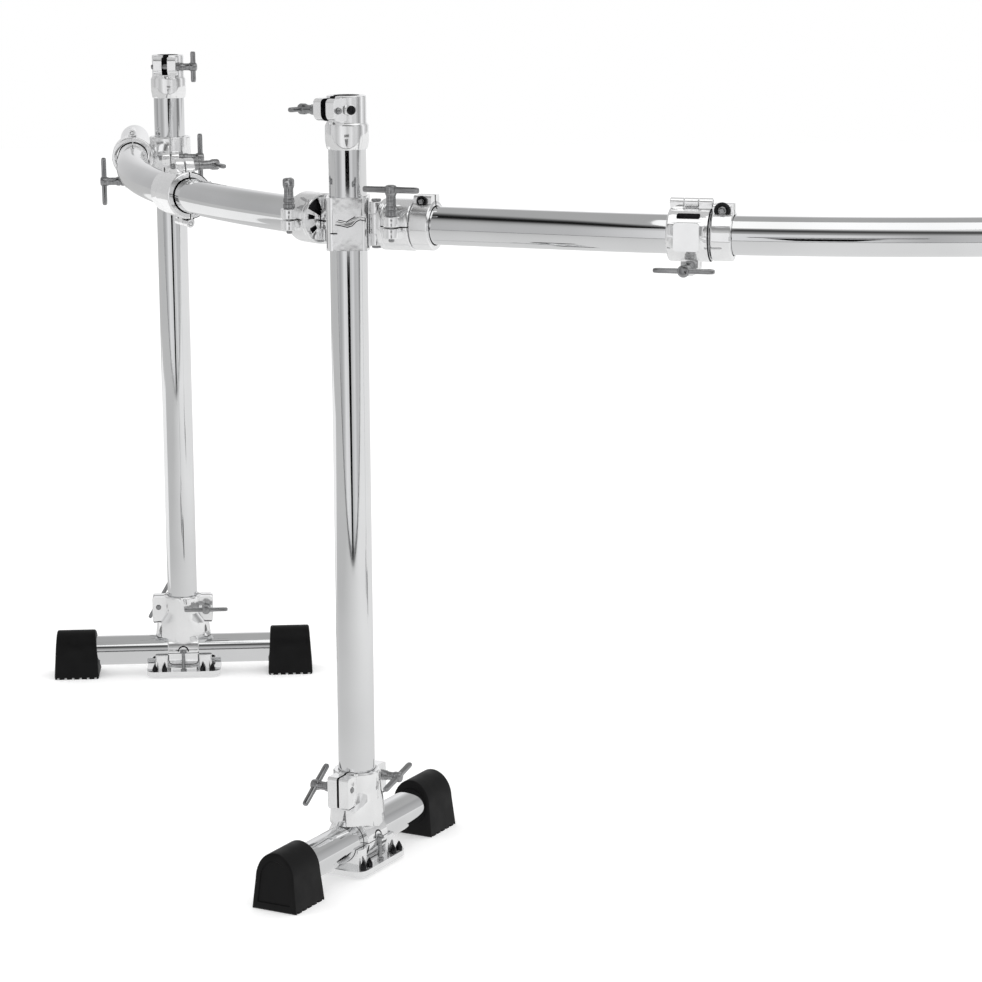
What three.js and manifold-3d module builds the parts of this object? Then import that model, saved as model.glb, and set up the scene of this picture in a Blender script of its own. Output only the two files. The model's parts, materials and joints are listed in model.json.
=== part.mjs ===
// Drum rack frame: three T-legs carry a bowed front rail and a bowed side wing,
// all of chromed tube, joined by hinged ring clamps with T-screws.
// Millimetres, +Z up, +X along the front, +Y towards the back of the frame.

import * as THREE from 'three';
import { mergeVertices } from 'three/addons/utils/BufferGeometryUtils.js';
import Module from 'manifold-3d';

const wasm = await Module();
wasm.setup();

// Tube stock and fits
const tubeRadius = 19.05;
const tubeWall = 1.65;
const straightFit = 0.45;
const bentFit = 1;
const faceGap = 0.3;
const cutOver = 2;

// Plan of the frame: posts, rails and the ways they run
const frontSpan = 1200;
const frontStraight = 250;
const frontBendRadius = 1000;
const wingLength = 1130;
const wingStraight = 120;
const wingBendRadius = 1100;
const wingBendLength = 600;
const wingHeading = 127.5;
const rearPostAlong = 856;
const rearPostOffset = 47;

// Headings of each post's T-foot and top clamp, and the angles its screws rest at
const frontLeftFittings = {
  footHeading: 62, rightSpin: 15, leftSpin: -34, topHeading: -42, screwSide: -1, topSpin: 90,
};
const frontRightFittings = {
  footHeading: 118, rightSpin: 35, leftSpin: -20, topHeading: 42, screwSide: 1, topSpin: 90,
};
const rearLeftFittings = {
  footHeading: 4, rightSpin: 0, leftSpin: -60, topHeading: -2, screwSide: 1, topSpin: 0,
};

// Posts and T-feet
const postLength = 712;
const postFoot = 58;
const postTop = postFoot + postLength;
const railDrop = 94;
const railHeight = postTop - railDrop;
const footTubeLength = 317;
const footTubeHeight = 32;

// Facets of round stock
const tubeSides = 20;
const boreSides = 20;
const innerSides = 10;
const smallSides = 8;
const frontRailSteps = 20;
const wingRailSteps = 18;

const chrome = new THREE.MeshStandardMaterial({ color: 0xd8dadc, roughness: 0.06, metalness: 1 });
const castChrome = new THREE.MeshStandardMaterial({ color: 0xd2d4d6, roughness: 0.14, metalness: 1 });
const screwSteel = new THREE.MeshStandardMaterial({ color: 0xa9abad, roughness: 0.24, metalness: 1 });
const rubber = new THREE.MeshStandardMaterial({ color: 0x0c0c0d, roughness: 0.7, metalness: 0 });

// Solids for cutting and joining

function toSolid(geometry) {
  const bare = geometry.clone();
  bare.deleteAttribute('normal');
  bare.deleteAttribute('uv');
  const welded = mergeVertices(bare);
  return new wasm.Manifold(new wasm.Mesh({
    numProp: 3,
    vertProperties: new Float32Array(welded.attributes.position.array),
    triVerts: new Uint32Array(welded.index.array),
  }));
}

function toGeometry(solid) {
  const mesh = solid.getMesh();
  const geometry = new THREE.BufferGeometry();
  geometry.setAttribute('position', new THREE.BufferAttribute(new Float32Array(mesh.vertProperties), 3));
  geometry.setIndex(new THREE.BufferAttribute(new Uint32Array(mesh.triVerts), 1));
  geometry.computeVertexNormals();
  return geometry;
}

function joined(parts) {
  return parts.map(toSolid).reduce((whole, part) => whole.add(part));
}

function cut(solid, tools) {
  return tools.map(toSolid).reduce((whole, tool) => whole.subtract(tool), solid);
}

// A box between two corners
function block(low, high) {
  const size = high.map((value, i) => value - low[i]);
  const box = new THREE.BoxGeometry(...size);
  return box.translate(...low.map((value, i) => value + size[i] / 2));
}

// A round bar along one axis, from one end to the other, about a centre in the plane across it
function bar(axis, radius, from, to, centre = [0, 0], sides = boreSides) {
  const rod = new THREE.CylinderGeometry(radius, radius, to - from, sides);
  const middle = (from + to) / 2;
  if (axis === 'x') return rod.rotateZ(Math.PI / 2).translate(middle, centre[0], centre[1]);
  if (axis === 'y') return rod.translate(centre[0], middle, centre[1]);
  return rod.rotateX(Math.PI / 2).translate(centre[0], centre[1], middle);
}

function named(name, geometry, material) {
  const mesh = new THREE.Mesh(geometry, material.clone());
  mesh.name = name;
  return mesh;
}

function group(...children) {
  const holder = new THREE.Group();
  holder.add(...children);
  return holder;
}

const degrees = THREE.MathUtils.degToRad;

// Chromed tube, open at both ends

// A straight tube along X, centred on the origin
function straightTube(length) {
  const half = length / 2;
  const outside = toSolid(bar('x', tubeRadius, -half, half, [0, 0], tubeSides));
  const inside = bar('x', tubeRadius - tubeWall, -half - cutOver, half + cutOver, [0, 0], innerSides);
  return toGeometry(cut(outside, [inside]));
}

// A rail's centre line: straight where its end clamp grips it, one bend, then straight again.
// It starts on a post's axis and heads along +X; a positive turn bends it towards +Y.
class RailLine extends THREE.Curve {
  constructor(start, end, straight, bendRadius, bendLength, turn) {
    super();
    Object.assign(this, { start, end, straight, bendRadius, bendLength, turn });
  }

  // The place and heading at a distance from the post, measured along the rail
  along(distance) {
    const bent = THREE.MathUtils.clamp(distance - this.straight, 0, this.bendLength);
    const beyond = Math.max(distance - this.straight - this.bendLength, 0);
    const angle = bent / this.bendRadius;
    const before = Math.min(distance, this.straight);
    const x = before + this.bendRadius * Math.sin(angle) + beyond * Math.cos(angle);
    const y = this.turn * (this.bendRadius * (1 - Math.cos(angle)) + beyond * Math.sin(angle));
    return { x, y, heading: this.turn * angle };
  }

  getPoint(t, target = new THREE.Vector3()) {
    const place = this.along(this.start + (this.end - this.start) * t);
    return target.set(place.x, place.y, 0);
  }

  lengthened(extra) {
    const from = this.start - extra;
    return new RailLine(from, this.end + extra, this.straight, this.bendRadius, this.bendLength, this.turn);
  }
}

function bentRod(line, radius, sides, steps) {
  const corners = Array.from({ length: sides }, (_, i) => {
    const angle = 2 * Math.PI * i / sides;
    return new THREE.Vector2(radius * Math.cos(angle), radius * Math.sin(angle));
  });
  const section = new THREE.Shape(corners);
  return new THREE.ExtrudeGeometry(section, { steps, extrudePath: line, bevelEnabled: false });
}

function bentTube(line, steps) {
  const outside = toSolid(bentRod(line, tubeRadius, tubeSides, steps));
  const inside = bentRod(line.lengthened(cutOver), tubeRadius - tubeWall, innerSides, steps);
  return toGeometry(cut(outside, [inside]));
}

// Ring clamp. Its rail runs along X, its hinge is at +Y, its lugs at -Y, and
// the plane Z = 0 splits it into a base below and a cap above.
const ringRadius = 26;
const ringSplit = 1.2;
const lugRadius = 8.5;
const lugReach = 31;
const lugHeight = 11;
const boltRadius = 3;
const boltFit = 0.4;
const knuckleRadius = 4.5;
const knuckleHalf = 7;
const knuckleGap = 0.4;
const hingeReach = ringRadius + knuckleRadius + knuckleGap;
const hingePinRadius = 2;
const hingePinFit = 0.3;
const ringWidth = 42;
const panelWidth = 25;
const panelRise = 2.6;
const panelHalfHeight = 13.5;

function ringHalf(side, from, to, boreRadius, extras = []) {
  const low = side > 0 ? ringSplit / 2 : -ringRadius - panelRise - cutOver;
  const high = side > 0 ? ringRadius + panelRise + cutOver : -ringSplit / 2;
  const reach = lugReach + ringRadius;
  const face = side * ringSplit / 2;
  const lugEnd = side * lugHeight;
  const [lugLow, lugTop] = side > 0 ? [face, lugEnd] : [lugEnd, face];
  const [webLow, webTop] = side > 0 ? [face, knuckleRadius] : [-knuckleRadius, face];
  const middle = (from + to) / 2;
  const half = toSolid(block([from, -reach, low], [to, reach, high]));
  const ring = joined([bar('x', ringRadius, from, to), ...extras]).intersect(half);
  const lug = joined([
    bar('z', lugRadius, lugLow, lugTop, [middle, -lugReach], smallSides),
    block([middle - lugRadius, -lugReach, lugLow], [middle + lugRadius, 0, lugTop]),
  ]);
  const spans = side > 0
    ? [[from, middle - knuckleHalf - faceGap], [middle + knuckleHalf + faceGap, to]]
    : [[middle - knuckleHalf, middle + knuckleHalf]];
  const knuckles = joined(spans.flatMap(([start, end]) => [
    bar('x', knuckleRadius, start, end, [hingeReach, 0], smallSides),
    block([start, 0, webLow], [end, hingeReach, webTop]),
  ]));
  const whole = ring.add(lug).add(knuckles);
  const bored = cut(whole, [
    bar('x', boreRadius, from - cutOver, to + cutOver),
    bar('z', boltRadius + boltFit, -lugHeight - cutOver, lugHeight + cutOver, [middle, -lugReach], smallSides),
  ]);
  if (side < 0) return bored.add(toSolid(bar('x', hingePinRadius, from, to, [hingeReach, 0], smallSides)));
  return cut(bored, [
    bar('x', hingePinRadius + hingePinFit, from - cutOver, to + cutOver, [hingeReach, 0], smallSides),
  ]);
}

// T-screw: a bolt through both lugs, a long hub and a cross bar
const hubRadius = 6;
const hubLength = 31;
const hubWaistShare = 0.86;
const hubEdge = 1.5;
const boltTail = 3.5;
const wingSpan = 60;
const wingTall = 7.5;
const wingThick = 5.5;
const wingDrop = 1;

function crossBar(span, tall, thick, top) {
  const shape = new THREE.Shape();
  const end = span / 2 - tall / 2;
  const low = top - tall;
  shape.moveTo(-end, low);
  shape.lineTo(end, low);
  shape.absarc(end, top - tall / 2, tall / 2, -Math.PI / 2, Math.PI / 2, false);
  shape.lineTo(-end, top);
  shape.absarc(-end, top - tall / 2, tall / 2, Math.PI / 2, 3 * Math.PI / 2, false);
  const wing = new THREE.ExtrudeGeometry(shape, { depth: thick, bevelEnabled: false, curveSegments: 3 });
  return wing.translate(0, 0, -thick / 2).rotateX(Math.PI / 2);
}

// A screw along +Z: its seat is at z = seat, and its bolt goes down to z = -tail
function handScrew(seat, tail, radius, length, span, tall) {
  const top = seat + faceGap + length;
  const under = seat + faceGap;
  const profile = [
    [0, -tail], [boltRadius, -tail], [boltRadius, under], [radius, under],
    [radius * hubWaistShare, under + length / 2], [radius, top - tall - hubEdge],
    [radius, top - hubEdge], [radius - hubEdge, top], [0, top],
  ].map(([r, z]) => new THREE.Vector2(r, z));
  const stem = new THREE.LatheGeometry(profile, smallSides).rotateX(Math.PI / 2);
  return toGeometry(joined([stem, crossBar(span, tall, wingThick, top - wingDrop)]));
}

// The spin is the angle at which the cross bar comes to rest
function ringScrew(name, spin = 0) {
  const screw = handScrew(lugHeight, lugHeight + boltTail, hubRadius, hubLength, wingSpan, wingTall);
  const mesh = named(name, screw, screwSteel);
  mesh.position.y = -lugReach;
  mesh.rotation.z = degrees(spin);
  return mesh;
}

// Accessory clamp that rides on a bent rail: base, panelled cap and T-screw
function accessoryClamp(name, turn) {
  const bore = tubeRadius + bentFit;
  const half = ringWidth / 2;
  const panel = block(
    [-panelWidth / 2, -panelHalfHeight, 0],
    [panelWidth / 2, panelHalfHeight, ringRadius + panelRise],
  );
  const clamp = group(
    named(`${name}_base`, toGeometry(ringHalf(-1, -half, half, bore)), castChrome),
    named(`${name}_cap`, toGeometry(ringHalf(1, -half, half, bore, [panel])), castChrome),
    ringScrew(`${name}_t_screw`),
  );
  clamp.rotation.x = degrees(turn);
  return clamp;
}

// Memory lock: a split collar with a key screw across its lug, set against a clamp
const lockRadius = 25;
const lockWidth = 20;
const lockSlot = 2.4;
const lockLugHalf = 11;
const lockLugTop = 30.5;
const lockScrewHeight = 24.8;
const keyHeadRadius = 5.6;
const wideKeyHeadRadius = 8;
const keyHeadLength = 5;
const keyStemRadius = 2.5;

function memoryLock(name, headRadius) {
  const middle = lockWidth / 2;
  const collar = joined([
    bar('x', lockRadius, 0, lockWidth),
    block([0, -lockLugHalf, 0], [lockWidth, lockLugHalf, lockLugTop]),
  ]);
  const bored = cut(collar, [
    bar('x', tubeRadius + bentFit, -cutOver, lockWidth + cutOver),
    block([-cutOver, -lockSlot / 2, 0], [lockWidth + cutOver, lockSlot / 2, lockLugTop + cutOver]),
  ]);
  const screw = joined([
    bar('y', headRadius, -lockLugHalf - keyHeadLength, -lockLugHalf, [middle, lockScrewHeight], boreSides),
    bar('y', keyStemRadius, -lockLugHalf, lockLugHalf, [middle, lockScrewHeight], smallSides),
  ]);
  return named(name, toGeometry(bored.add(screw)), castChrome);
}

// Rail joint: a block on the post with hinge lugs, and an end clamp on a knuckle
const blockWidth = 43;
const blockDepth = 46;
const blockHeight = 53;
const blockCorner = 7;
const blockSlot = 2.4;
const pinReach = 31;
const pinRadius = 3.2;
const pinFit = 0.3;
const pinHeadRadius = 5;
const pinHeadLength = 2.5;
const barrelRadius = 7;
const knuckleRoom = 1;
const tongueHalf = 9.5;
const lugPlateTop = 22;
const endClampStart = 41;
const endClampWidth = 34;
const endFlange = 5;

function roundedBlock(width, depth, height, corner) {
  const x = width / 2;
  const y = depth / 2;
  const shape = new THREE.Shape();
  shape.absarc(x - corner, y - corner, corner, 0, Math.PI / 2, false);
  shape.absarc(-x + corner, y - corner, corner, Math.PI / 2, Math.PI, false);
  shape.absarc(-x + corner, -y + corner, corner, Math.PI, 3 * Math.PI / 2, false);
  shape.absarc(x - corner, -y + corner, corner, 3 * Math.PI / 2, 2 * Math.PI, false);
  const body = new THREE.ExtrudeGeometry(shape, { depth: height, bevelEnabled: false, curveSegments: 3 });
  return body.translate(0, 0, -height / 2);
}

function hingeLug(heading, low, high) {
  const barrel = bar('z', barrelRadius, low, high, [pinReach, 0], smallSides);
  const web = block([0, -barrelRadius, low], [pinReach, barrelRadius, high]);
  return [barrel, web].map((piece) => piece.rotateZ(degrees(heading)));
}

function junctionBlock(name, headings) {
  const lugLow = tongueHalf + faceGap;
  const lugs = headings.flatMap((heading) => [
    ...hingeLug(heading, lugLow, lugPlateTop),
    ...hingeLug(heading, -lugPlateTop, -lugLow),
  ]);
  const whole = joined([roundedBlock(blockWidth, blockDepth, blockHeight, blockCorner), ...lugs]);
  const high = blockHeight / 2 + cutOver;
  const tongueRoom = barrelRadius + knuckleRoom;
  const headRoom = pinHeadRadius + knuckleRoom;
  const pinHoles = headings.flatMap((heading) => [
    bar('z', pinRadius + pinFit, -high, high, [pinReach, 0], smallSides),
    bar('z', tongueRoom, -lugLow, lugLow, [pinReach, 0], smallSides),
    bar('z', headRoom, -high, -lugPlateTop, [pinReach, 0], smallSides),
    bar('z', headRoom, lugPlateTop, high, [pinReach, 0], smallSides),
  ].map((hole) => hole.rotateZ(degrees(heading))));
  const bored = cut(whole, [
    bar('z', tubeRadius + straightFit, -high, high),
    block([-blockSlot / 2, 0, -high], [blockSlot / 2, blockDepth / 2 + cutOver, high]),
    ...pinHoles,
  ]);
  return named(name, toGeometry(bored), castChrome);
}

function hingePin(name) {
  const end = lugPlateTop + faceGap;
  const pin = joined([
    bar('z', pinRadius, -end, end, [pinReach, 0], smallSides),
    bar('z', pinHeadRadius, end, end + pinHeadLength, [pinReach, 0], smallSides),
    bar('z', pinHeadRadius, -end - pinHeadLength, -end, [pinReach, 0], smallSides),
  ]);
  return named(name, toGeometry(pin), screwSteel);
}

// The end clamp's base holds a closed flange and the knuckle's tongue
function endClamp(name, spin = 0) {
  const bore = tubeRadius + straightFit;
  const from = endClampStart + endFlange;
  const to = endClampStart + endClampWidth;
  const flange = joined([
    bar('x', ringRadius, endClampStart, from),
    bar('z', barrelRadius, -tongueHalf, tongueHalf, [pinReach, 0], smallSides),
    block([pinReach, -barrelRadius, -tongueHalf], [from, barrelRadius, tongueHalf]),
  ]);
  const base = cut(ringHalf(-1, from, to, bore).add(flange), [
    bar('z', pinRadius + pinFit, -tongueHalf - cutOver, tongueHalf + cutOver, [pinReach, 0], smallSides),
  ]);
  const screw = ringScrew(`${name}_t_screw`, spin);
  screw.position.x = (from + to) / 2;
  return group(
    named(`${name}_base`, toGeometry(base), castChrome),
    named(`${name}_cap`, toGeometry(ringHalf(1, from + faceGap, to, bore)), castChrome),
    screw,
  );
}

// Right-angle clamp of the rear post: one ring round the post and one round the wing rail
const postRingWidth = 50;
const railScrewSpin = 90;

function turned(solid, matrix) {
  return toSolid(toGeometry(solid).applyMatrix4(matrix));
}

// Moves a clamp from its own axes to the post's, where the lugs face -Y and the cap faces +X
function aboutPost() {
  return new THREE.Matrix4().makeRotationY(Math.PI / 2);
}

// Moves a clamp to the wing rail beside the post, with its lugs below and its cap outside
function aboutRail() {
  const place = new THREE.Matrix4().makeTranslation(-rearPostOffset, 0, 0);
  const heading = new THREE.Matrix4().makeRotationZ(-Math.PI / 2);
  const tilt = new THREE.Matrix4().makeRotationX(Math.PI / 2);
  return place.multiply(heading).multiply(tilt);
}

function placed(matrix, ...children) {
  const holder = group(...children);
  holder.applyMatrix4(matrix);
  return holder;
}

function rearClamp(name) {
  const postHalf = postRingWidth / 2;
  const railHalf = ringWidth / 2;
  const postBore = tubeRadius + straightFit;
  const railBore = tubeRadius + bentFit;
  const postSide = turned(ringHalf(-1, -postHalf, postHalf, postBore), aboutPost());
  const railSide = turned(ringHalf(-1, -railHalf, railHalf, railBore), aboutRail());
  const body = cut(postSide.add(railSide), [
    bar('z', postBore, -postHalf - cutOver, postHalf + cutOver),
    bar('y', railBore, -railHalf - cutOver, railHalf + cutOver, [-rearPostOffset, 0]),
  ]);
  const postCap = ringHalf(1, -postHalf, postHalf, postBore);
  const railCap = ringHalf(1, -railHalf, railHalf, railBore);
  return group(
    named(`${name}_body`, toGeometry(body), castChrome),
    placed(
      aboutPost(),
      named(`${name}_post_cap`, toGeometry(postCap), castChrome),
      ringScrew(`${name}_post_t_screw`),
    ),
    placed(
      aboutRail(),
      named(`${name}_rail_cap`, toGeometry(railCap), castChrome),
      ringScrew(`${name}_rail_t_screw`, railScrewSpin),
    ),
  );
}

// Leg clamp: a split socket for the post on a saddle over the foot tube, and a base below
const socketRadius = 25;
const socketTop = 105;
const socketFloor = postFoot - faceGap;
const skirtReach = 37;
const skirtWaist = 34;
const skirtWaistHeight = 70;
const skirtTop = 82;
const earReach = 39;
const earHalf = 10;
const earLow = 78;
const earSlot = 2.6;
const earSlotLow = 68;
const earScrewReach = 31;
const earScrewHeight = 91;
const saddleRadius = 26;
const saddleHalf = 39;
const strapHalf = 20;
const sideBoltReach = 31;
const sideBoltOut = 27;
const sideBoltRadius = 4;
const sideLugRadius = 7;
const sideLugLow = 24;
const sideLugTop = 36;
const baseHalfLength = 48;
const baseHalfWidth = 33;
const baseLow = 3;
const baseTop = 9;
const baseCorner = 8;
const jawGap = 0.8;
const earHubLength = 26;
const earWingSpan = 56;
const earHubRadius = 5.5;

const sidePlaces = [-1, 1].flatMap((x) => [-1, 1].map((y) => [x * sideBoltReach, y * sideBoltOut]));

// The casting spreads below the socket into an oval skirt over the foot tube
function skirt() {
  const profile = [
    [0, footTubeHeight], [skirtReach, footTubeHeight], [skirtWaist, skirtWaistHeight],
    [socketRadius, skirtTop], [0, skirtTop],
  ].map(([r, z]) => new THREE.Vector2(r, z));
  const round = new THREE.LatheGeometry(profile, boreSides).rotateX(Math.PI / 2);
  return round.scale(1, saddleRadius / skirtReach, 1);
}

function legClampBody(name) {
  const split = footTubeHeight + jawGap / 2;
  const saddleCut = toSolid(block(
    [-earReach - cutOver, -socketTop, split],
    [earReach + cutOver, socketTop, socketTop + cutOver],
  ));
  const upper = joined([
    bar('z', socketRadius, footTubeHeight, socketTop),
    skirt(),
    bar('x', saddleRadius, -saddleHalf, saddleHalf, [0, footTubeHeight]),
    block([-earReach, -earHalf, earLow], [earReach, earHalf, socketTop]),
  ]).intersect(saddleCut);
  const lugs = joined(sidePlaces.flatMap(([x, y]) => [
    bar('z', sideLugRadius, sideLugLow, sideLugTop, [x, y], smallSides),
    block([x - sideLugRadius, Math.min(0, y), split], [x + sideLugRadius, Math.max(0, y), sideLugTop]),
  ]));
  const ends = [-1, 1].flatMap((side) => {
    const [from, to] = side > 0 ? [0, earReach + cutOver] : [-earReach - cutOver, 0];
    const screw = [side * earScrewReach, earScrewHeight];
    return [
      block([from, -earSlot / 2, earSlotLow], [to, earSlot / 2, socketTop + cutOver]),
      bar('y', boltRadius + boltFit, -earHalf - cutOver, earHalf + cutOver, screw, smallSides),
    ];
  });
  const whole = cut(upper.add(lugs), [
    bar('z', tubeRadius + straightFit, socketFloor, socketTop + cutOver),
    bar('x', tubeRadius + straightFit, -saddleHalf - cutOver, saddleHalf + cutOver, [0, footTubeHeight]),
    ...ends,
  ]);
  return named(name, toGeometry(whole), castChrome);
}

function legClampBase(name) {
  const split = footTubeHeight - jawGap / 2;
  const below = toSolid(block([-strapHalf, -saddleRadius, baseLow], [strapHalf, saddleRadius, split]));
  const strap = joined([bar('x', saddleRadius, -strapHalf, strapHalf, [0, footTubeHeight])]).intersect(below);
  const plate = roundedBlock(2 * baseHalfLength, 2 * baseHalfWidth, baseTop - baseLow, baseCorner);
  const bolts = sidePlaces.map(
    ([x, y]) => bar('z', sideBoltRadius, baseLow, sideLugLow - faceGap, [x, y], smallSides),
  );
  const whole = strap.add(joined([plate.translate(0, 0, (baseLow + baseTop) / 2), ...bolts]));
  const base = cut(whole, [
    bar('x', tubeRadius + straightFit, -strapHalf - cutOver, strapHalf + cutOver, [0, footTubeHeight]),
  ]);
  return named(name, toGeometry(base), castChrome);
}

function earScrew(name, side, spin) {
  const screw = handScrew(earHalf, earHalf + boltTail, earHubRadius, earHubLength, earWingSpan, wingTall);
  const mesh = named(name, screw, screwSteel);
  mesh.rotation.set(side * Math.PI / 2, 0, degrees(spin));
  mesh.position.set(side * earScrewReach, 0, earScrewHeight);
  return mesh;
}

// Rubber foot pressed on each end of a foot tube
const footLength = 58;
const footWidth = 52;
const footShoulder = 45;
const footTall = 60;
const footEnd = 9;
const footTaperShare = 0.13;

function rubberFoot(name, side) {
  const half = footWidth / 2;
  const shoulder = footShoulder / 2;
  const outline = new THREE.Shape();
  outline.moveTo(-half, 0);
  outline.lineTo(half, 0);
  outline.lineTo(shoulder, footTubeHeight);
  outline.absellipse(0, footTubeHeight, shoulder, footTall - footTubeHeight, 0, Math.PI, false, 0);
  const form = new THREE.ExtrudeGeometry(outline, { depth: footLength, bevelEnabled: false, curveSegments: 10 });
  form.rotateX(Math.PI / 2).rotateZ(Math.PI / 2).translate(-footLength / 2, 0, 0);
  const places = form.attributes.position;
  for (let i = 0; i < places.count; i += 1) {
    const narrower = 1 - footTaperShare * places.getZ(i) / footTall;
    places.setX(i, places.getX(i) * narrower);
  }
  const inner = side > 0 ? -footLength : -footLength / 2 + footEnd;
  const outer = side > 0 ? footLength / 2 - footEnd : footLength;
  const socket = bar('x', tubeRadius + straightFit, inner, outer, [0, footTubeHeight]);
  return named(name, toGeometry(cut(toSolid(form), [socket])), rubber);
}

// One T-foot with its clamp, about the axis of its post
function legFoot(name, rightSpin, leftSpin) {
  const tube = named(`foot_tube_${name}`, straightTube(footTubeLength), chrome);
  tube.position.z = footTubeHeight;
  const feet = [[-1, 'left'], [1, 'right']].map(([side, end]) => {
    const foot = rubberFoot(`rubber_foot_${name}_${end}`, side);
    foot.position.x = side * (footTubeLength / 2 + faceGap + footEnd - footLength / 2);
    return foot;
  });
  return group(
    tube,
    ...feet,
    legClampBody(`leg_clamp_${name}`),
    legClampBase(`leg_clamp_base_${name}`),
    earScrew(`leg_wing_screw_${name}_right`, 1, rightSpin),
    earScrew(`leg_wing_screw_${name}_left`, -1, leftSpin),
  );
}

// Post-top clamp: a collar on the post that narrows to a split holder for an arm
const collarRadius = 22;
const collarFootRadius = 20.6;
const collarFootTall = 5;
const collarTall = 26;
const collarGrip = 20.5;
const holderRadius = 20;
const holderTall = 27.5;
const holderBore = 13.2;
const holderEarReach = 33;
const holderEarHalf = 14;
const holderEarLow = 3;
const holderEarTrim = 2;
const holderSlot = 7;
const holderScrewReach = 26;
const holderHubLength = 26;
const holderWingSpan = 38;
const keyBossRadius = 5.5;
const keyBossReach = 21.5;
const keyBossHeading = -33;

function topClampBody(name) {
  const low = postTop - collarGrip;
  const step = low + collarTall;
  const top = step + holderTall;
  const profile = [
    [0, low], [collarFootRadius, low], [collarRadius, low + collarFootTall], [collarRadius, step],
    [holderRadius, step + cutOver], [holderRadius, top], [0, top],
  ].map(([r, z]) => new THREE.Vector2(r, z));
  const holderMiddle = step + holderTall / 2;
  const stem = new THREE.LatheGeometry(profile, boreSides).rotateX(Math.PI / 2);
  const ears = block(
    [-holderEarHalf, -holderEarReach, step + holderEarLow],
    [holderEarHalf, 0, top - holderEarTrim],
  );
  const boss = bar('x', keyBossRadius, 0, keyBossReach, [0, holderMiddle], smallSides)
    .rotateZ(degrees(keyBossHeading));
  const body = cut(joined([stem, ears, boss]), [
    bar('z', tubeRadius + straightFit, low - cutOver, postTop + faceGap),
    bar('z', holderBore, low, top + cutOver),
    block(
      [-holderSlot / 2, -holderEarReach - cutOver, step + holderEarLow],
      [holderSlot / 2, 0, top + cutOver],
    ),
    bar('x', boltRadius + boltFit, -holderEarHalf - cutOver, holderEarHalf + cutOver,
      [-holderScrewReach, holderMiddle], smallSides),
  ]);
  return named(name, toGeometry(body), castChrome);
}

function topClamp(name, turn, screwSide, spin) {
  const holderMiddle = postTop - collarGrip + collarTall + holderTall / 2;
  const tail = holderEarHalf + boltTail;
  const screw = named(`${name}_wing_screw`,
    handScrew(holderEarHalf, tail, earHubRadius, holderHubLength, holderWingSpan, wingTall), screwSteel);
  screw.rotation.set(0, screwSide * Math.PI / 2, degrees(spin));
  screw.position.set(0, -holderScrewReach, holderMiddle);
  const clamp = group(topClampBody(name), screw);
  clamp.rotation.z = degrees(turn);
  return clamp;
}

// Assembly

// A post on its T-foot with its top clamp: headings and spins of its fittings, in degrees
function postWith(name, { footHeading, rightSpin, leftSpin, topHeading, screwSide, topSpin }) {
  const post = named(`post_${name}`, straightTube(postLength), chrome);
  post.rotation.y = Math.PI / 2;
  post.position.z = postFoot + postLength / 2;
  const leg = legFoot(name, rightSpin, leftSpin);
  leg.rotation.z = degrees(footHeading);
  return group(post, leg, topClamp(`top_clamp_${name}`, topHeading, screwSide, topSpin));
}

// The front rail's half bend is what reaches from one post to the middle of the span
const frontCentreReach = Math.hypot(frontBendRadius, frontStraight);
const frontHalfAngle = Math.asin(frontSpan / 2 / frontCentreReach);
const frontBend = 2 * (frontHalfAngle - Math.atan(frontStraight / frontBendRadius));
const frontHeading = -THREE.MathUtils.radToDeg(frontBend / 2);
const frontBendLength = frontBend * frontBendRadius;
const frontLength = 2 * frontStraight + frontBendLength;
const railStart = endClampStart + endFlange + faceGap;

const frontLine = new RailLine(
  railStart, frontLength - railStart, frontStraight, frontBendRadius, frontBendLength, 1,
);
const wingLine = new RailLine(railStart, wingLength, wingStraight, wingBendRadius, wingBendLength, -1);

// Puts a piece on a rail, its own X along the rail, or against it where reversed
function onRail(line, distance, piece, reversed = false) {
  const place = line.along(distance);
  const holder = group(piece);
  holder.position.set(place.x, place.y, 0);
  holder.rotation.z = place.heading + (reversed ? Math.PI : 0);
  return holder;
}

const frontClampAlong = 360;
const wingClampAlong = 356;
const lockGap = 0.6;
const lockAlong = ringWidth / 2 + lockGap;
const frontEndLock = endClampStart + endClampWidth + lockGap;
const wingScrewSpin = 38;

function frontRail() {
  const rail = named('rail_front', bentTube(frontLine, frontRailSteps), chrome);
  return group(
    rail,
    endClamp('front_left_clamp'),
    onRail(frontLine, frontEndLock, memoryLock('memory_lock_front_left', keyHeadRadius)),
    onRail(frontLine, frontClampAlong, accessoryClamp('front_accessory_clamp', 90)),
    onRail(
      frontLine, frontClampAlong + lockAlong,
      memoryLock('memory_lock_front_accessory', wideKeyHeadRadius),
    ),
  );
}

function wing() {
  const rail = named('rail_wing', bentTube(wingLine, wingRailSteps), chrome);
  const end = endClamp('wing_clamp', wingScrewSpin);
  end.scale.y = -1;
  return group(
    rail,
    end,
    onRail(wingLine, wingClampAlong, accessoryClamp('wing_accessory_clamp', -90), true),
    onRail(wingLine, wingClampAlong + lockAlong, memoryLock('memory_lock_wing_accessory', wideKeyHeadRadius)),
  );
}

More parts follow.
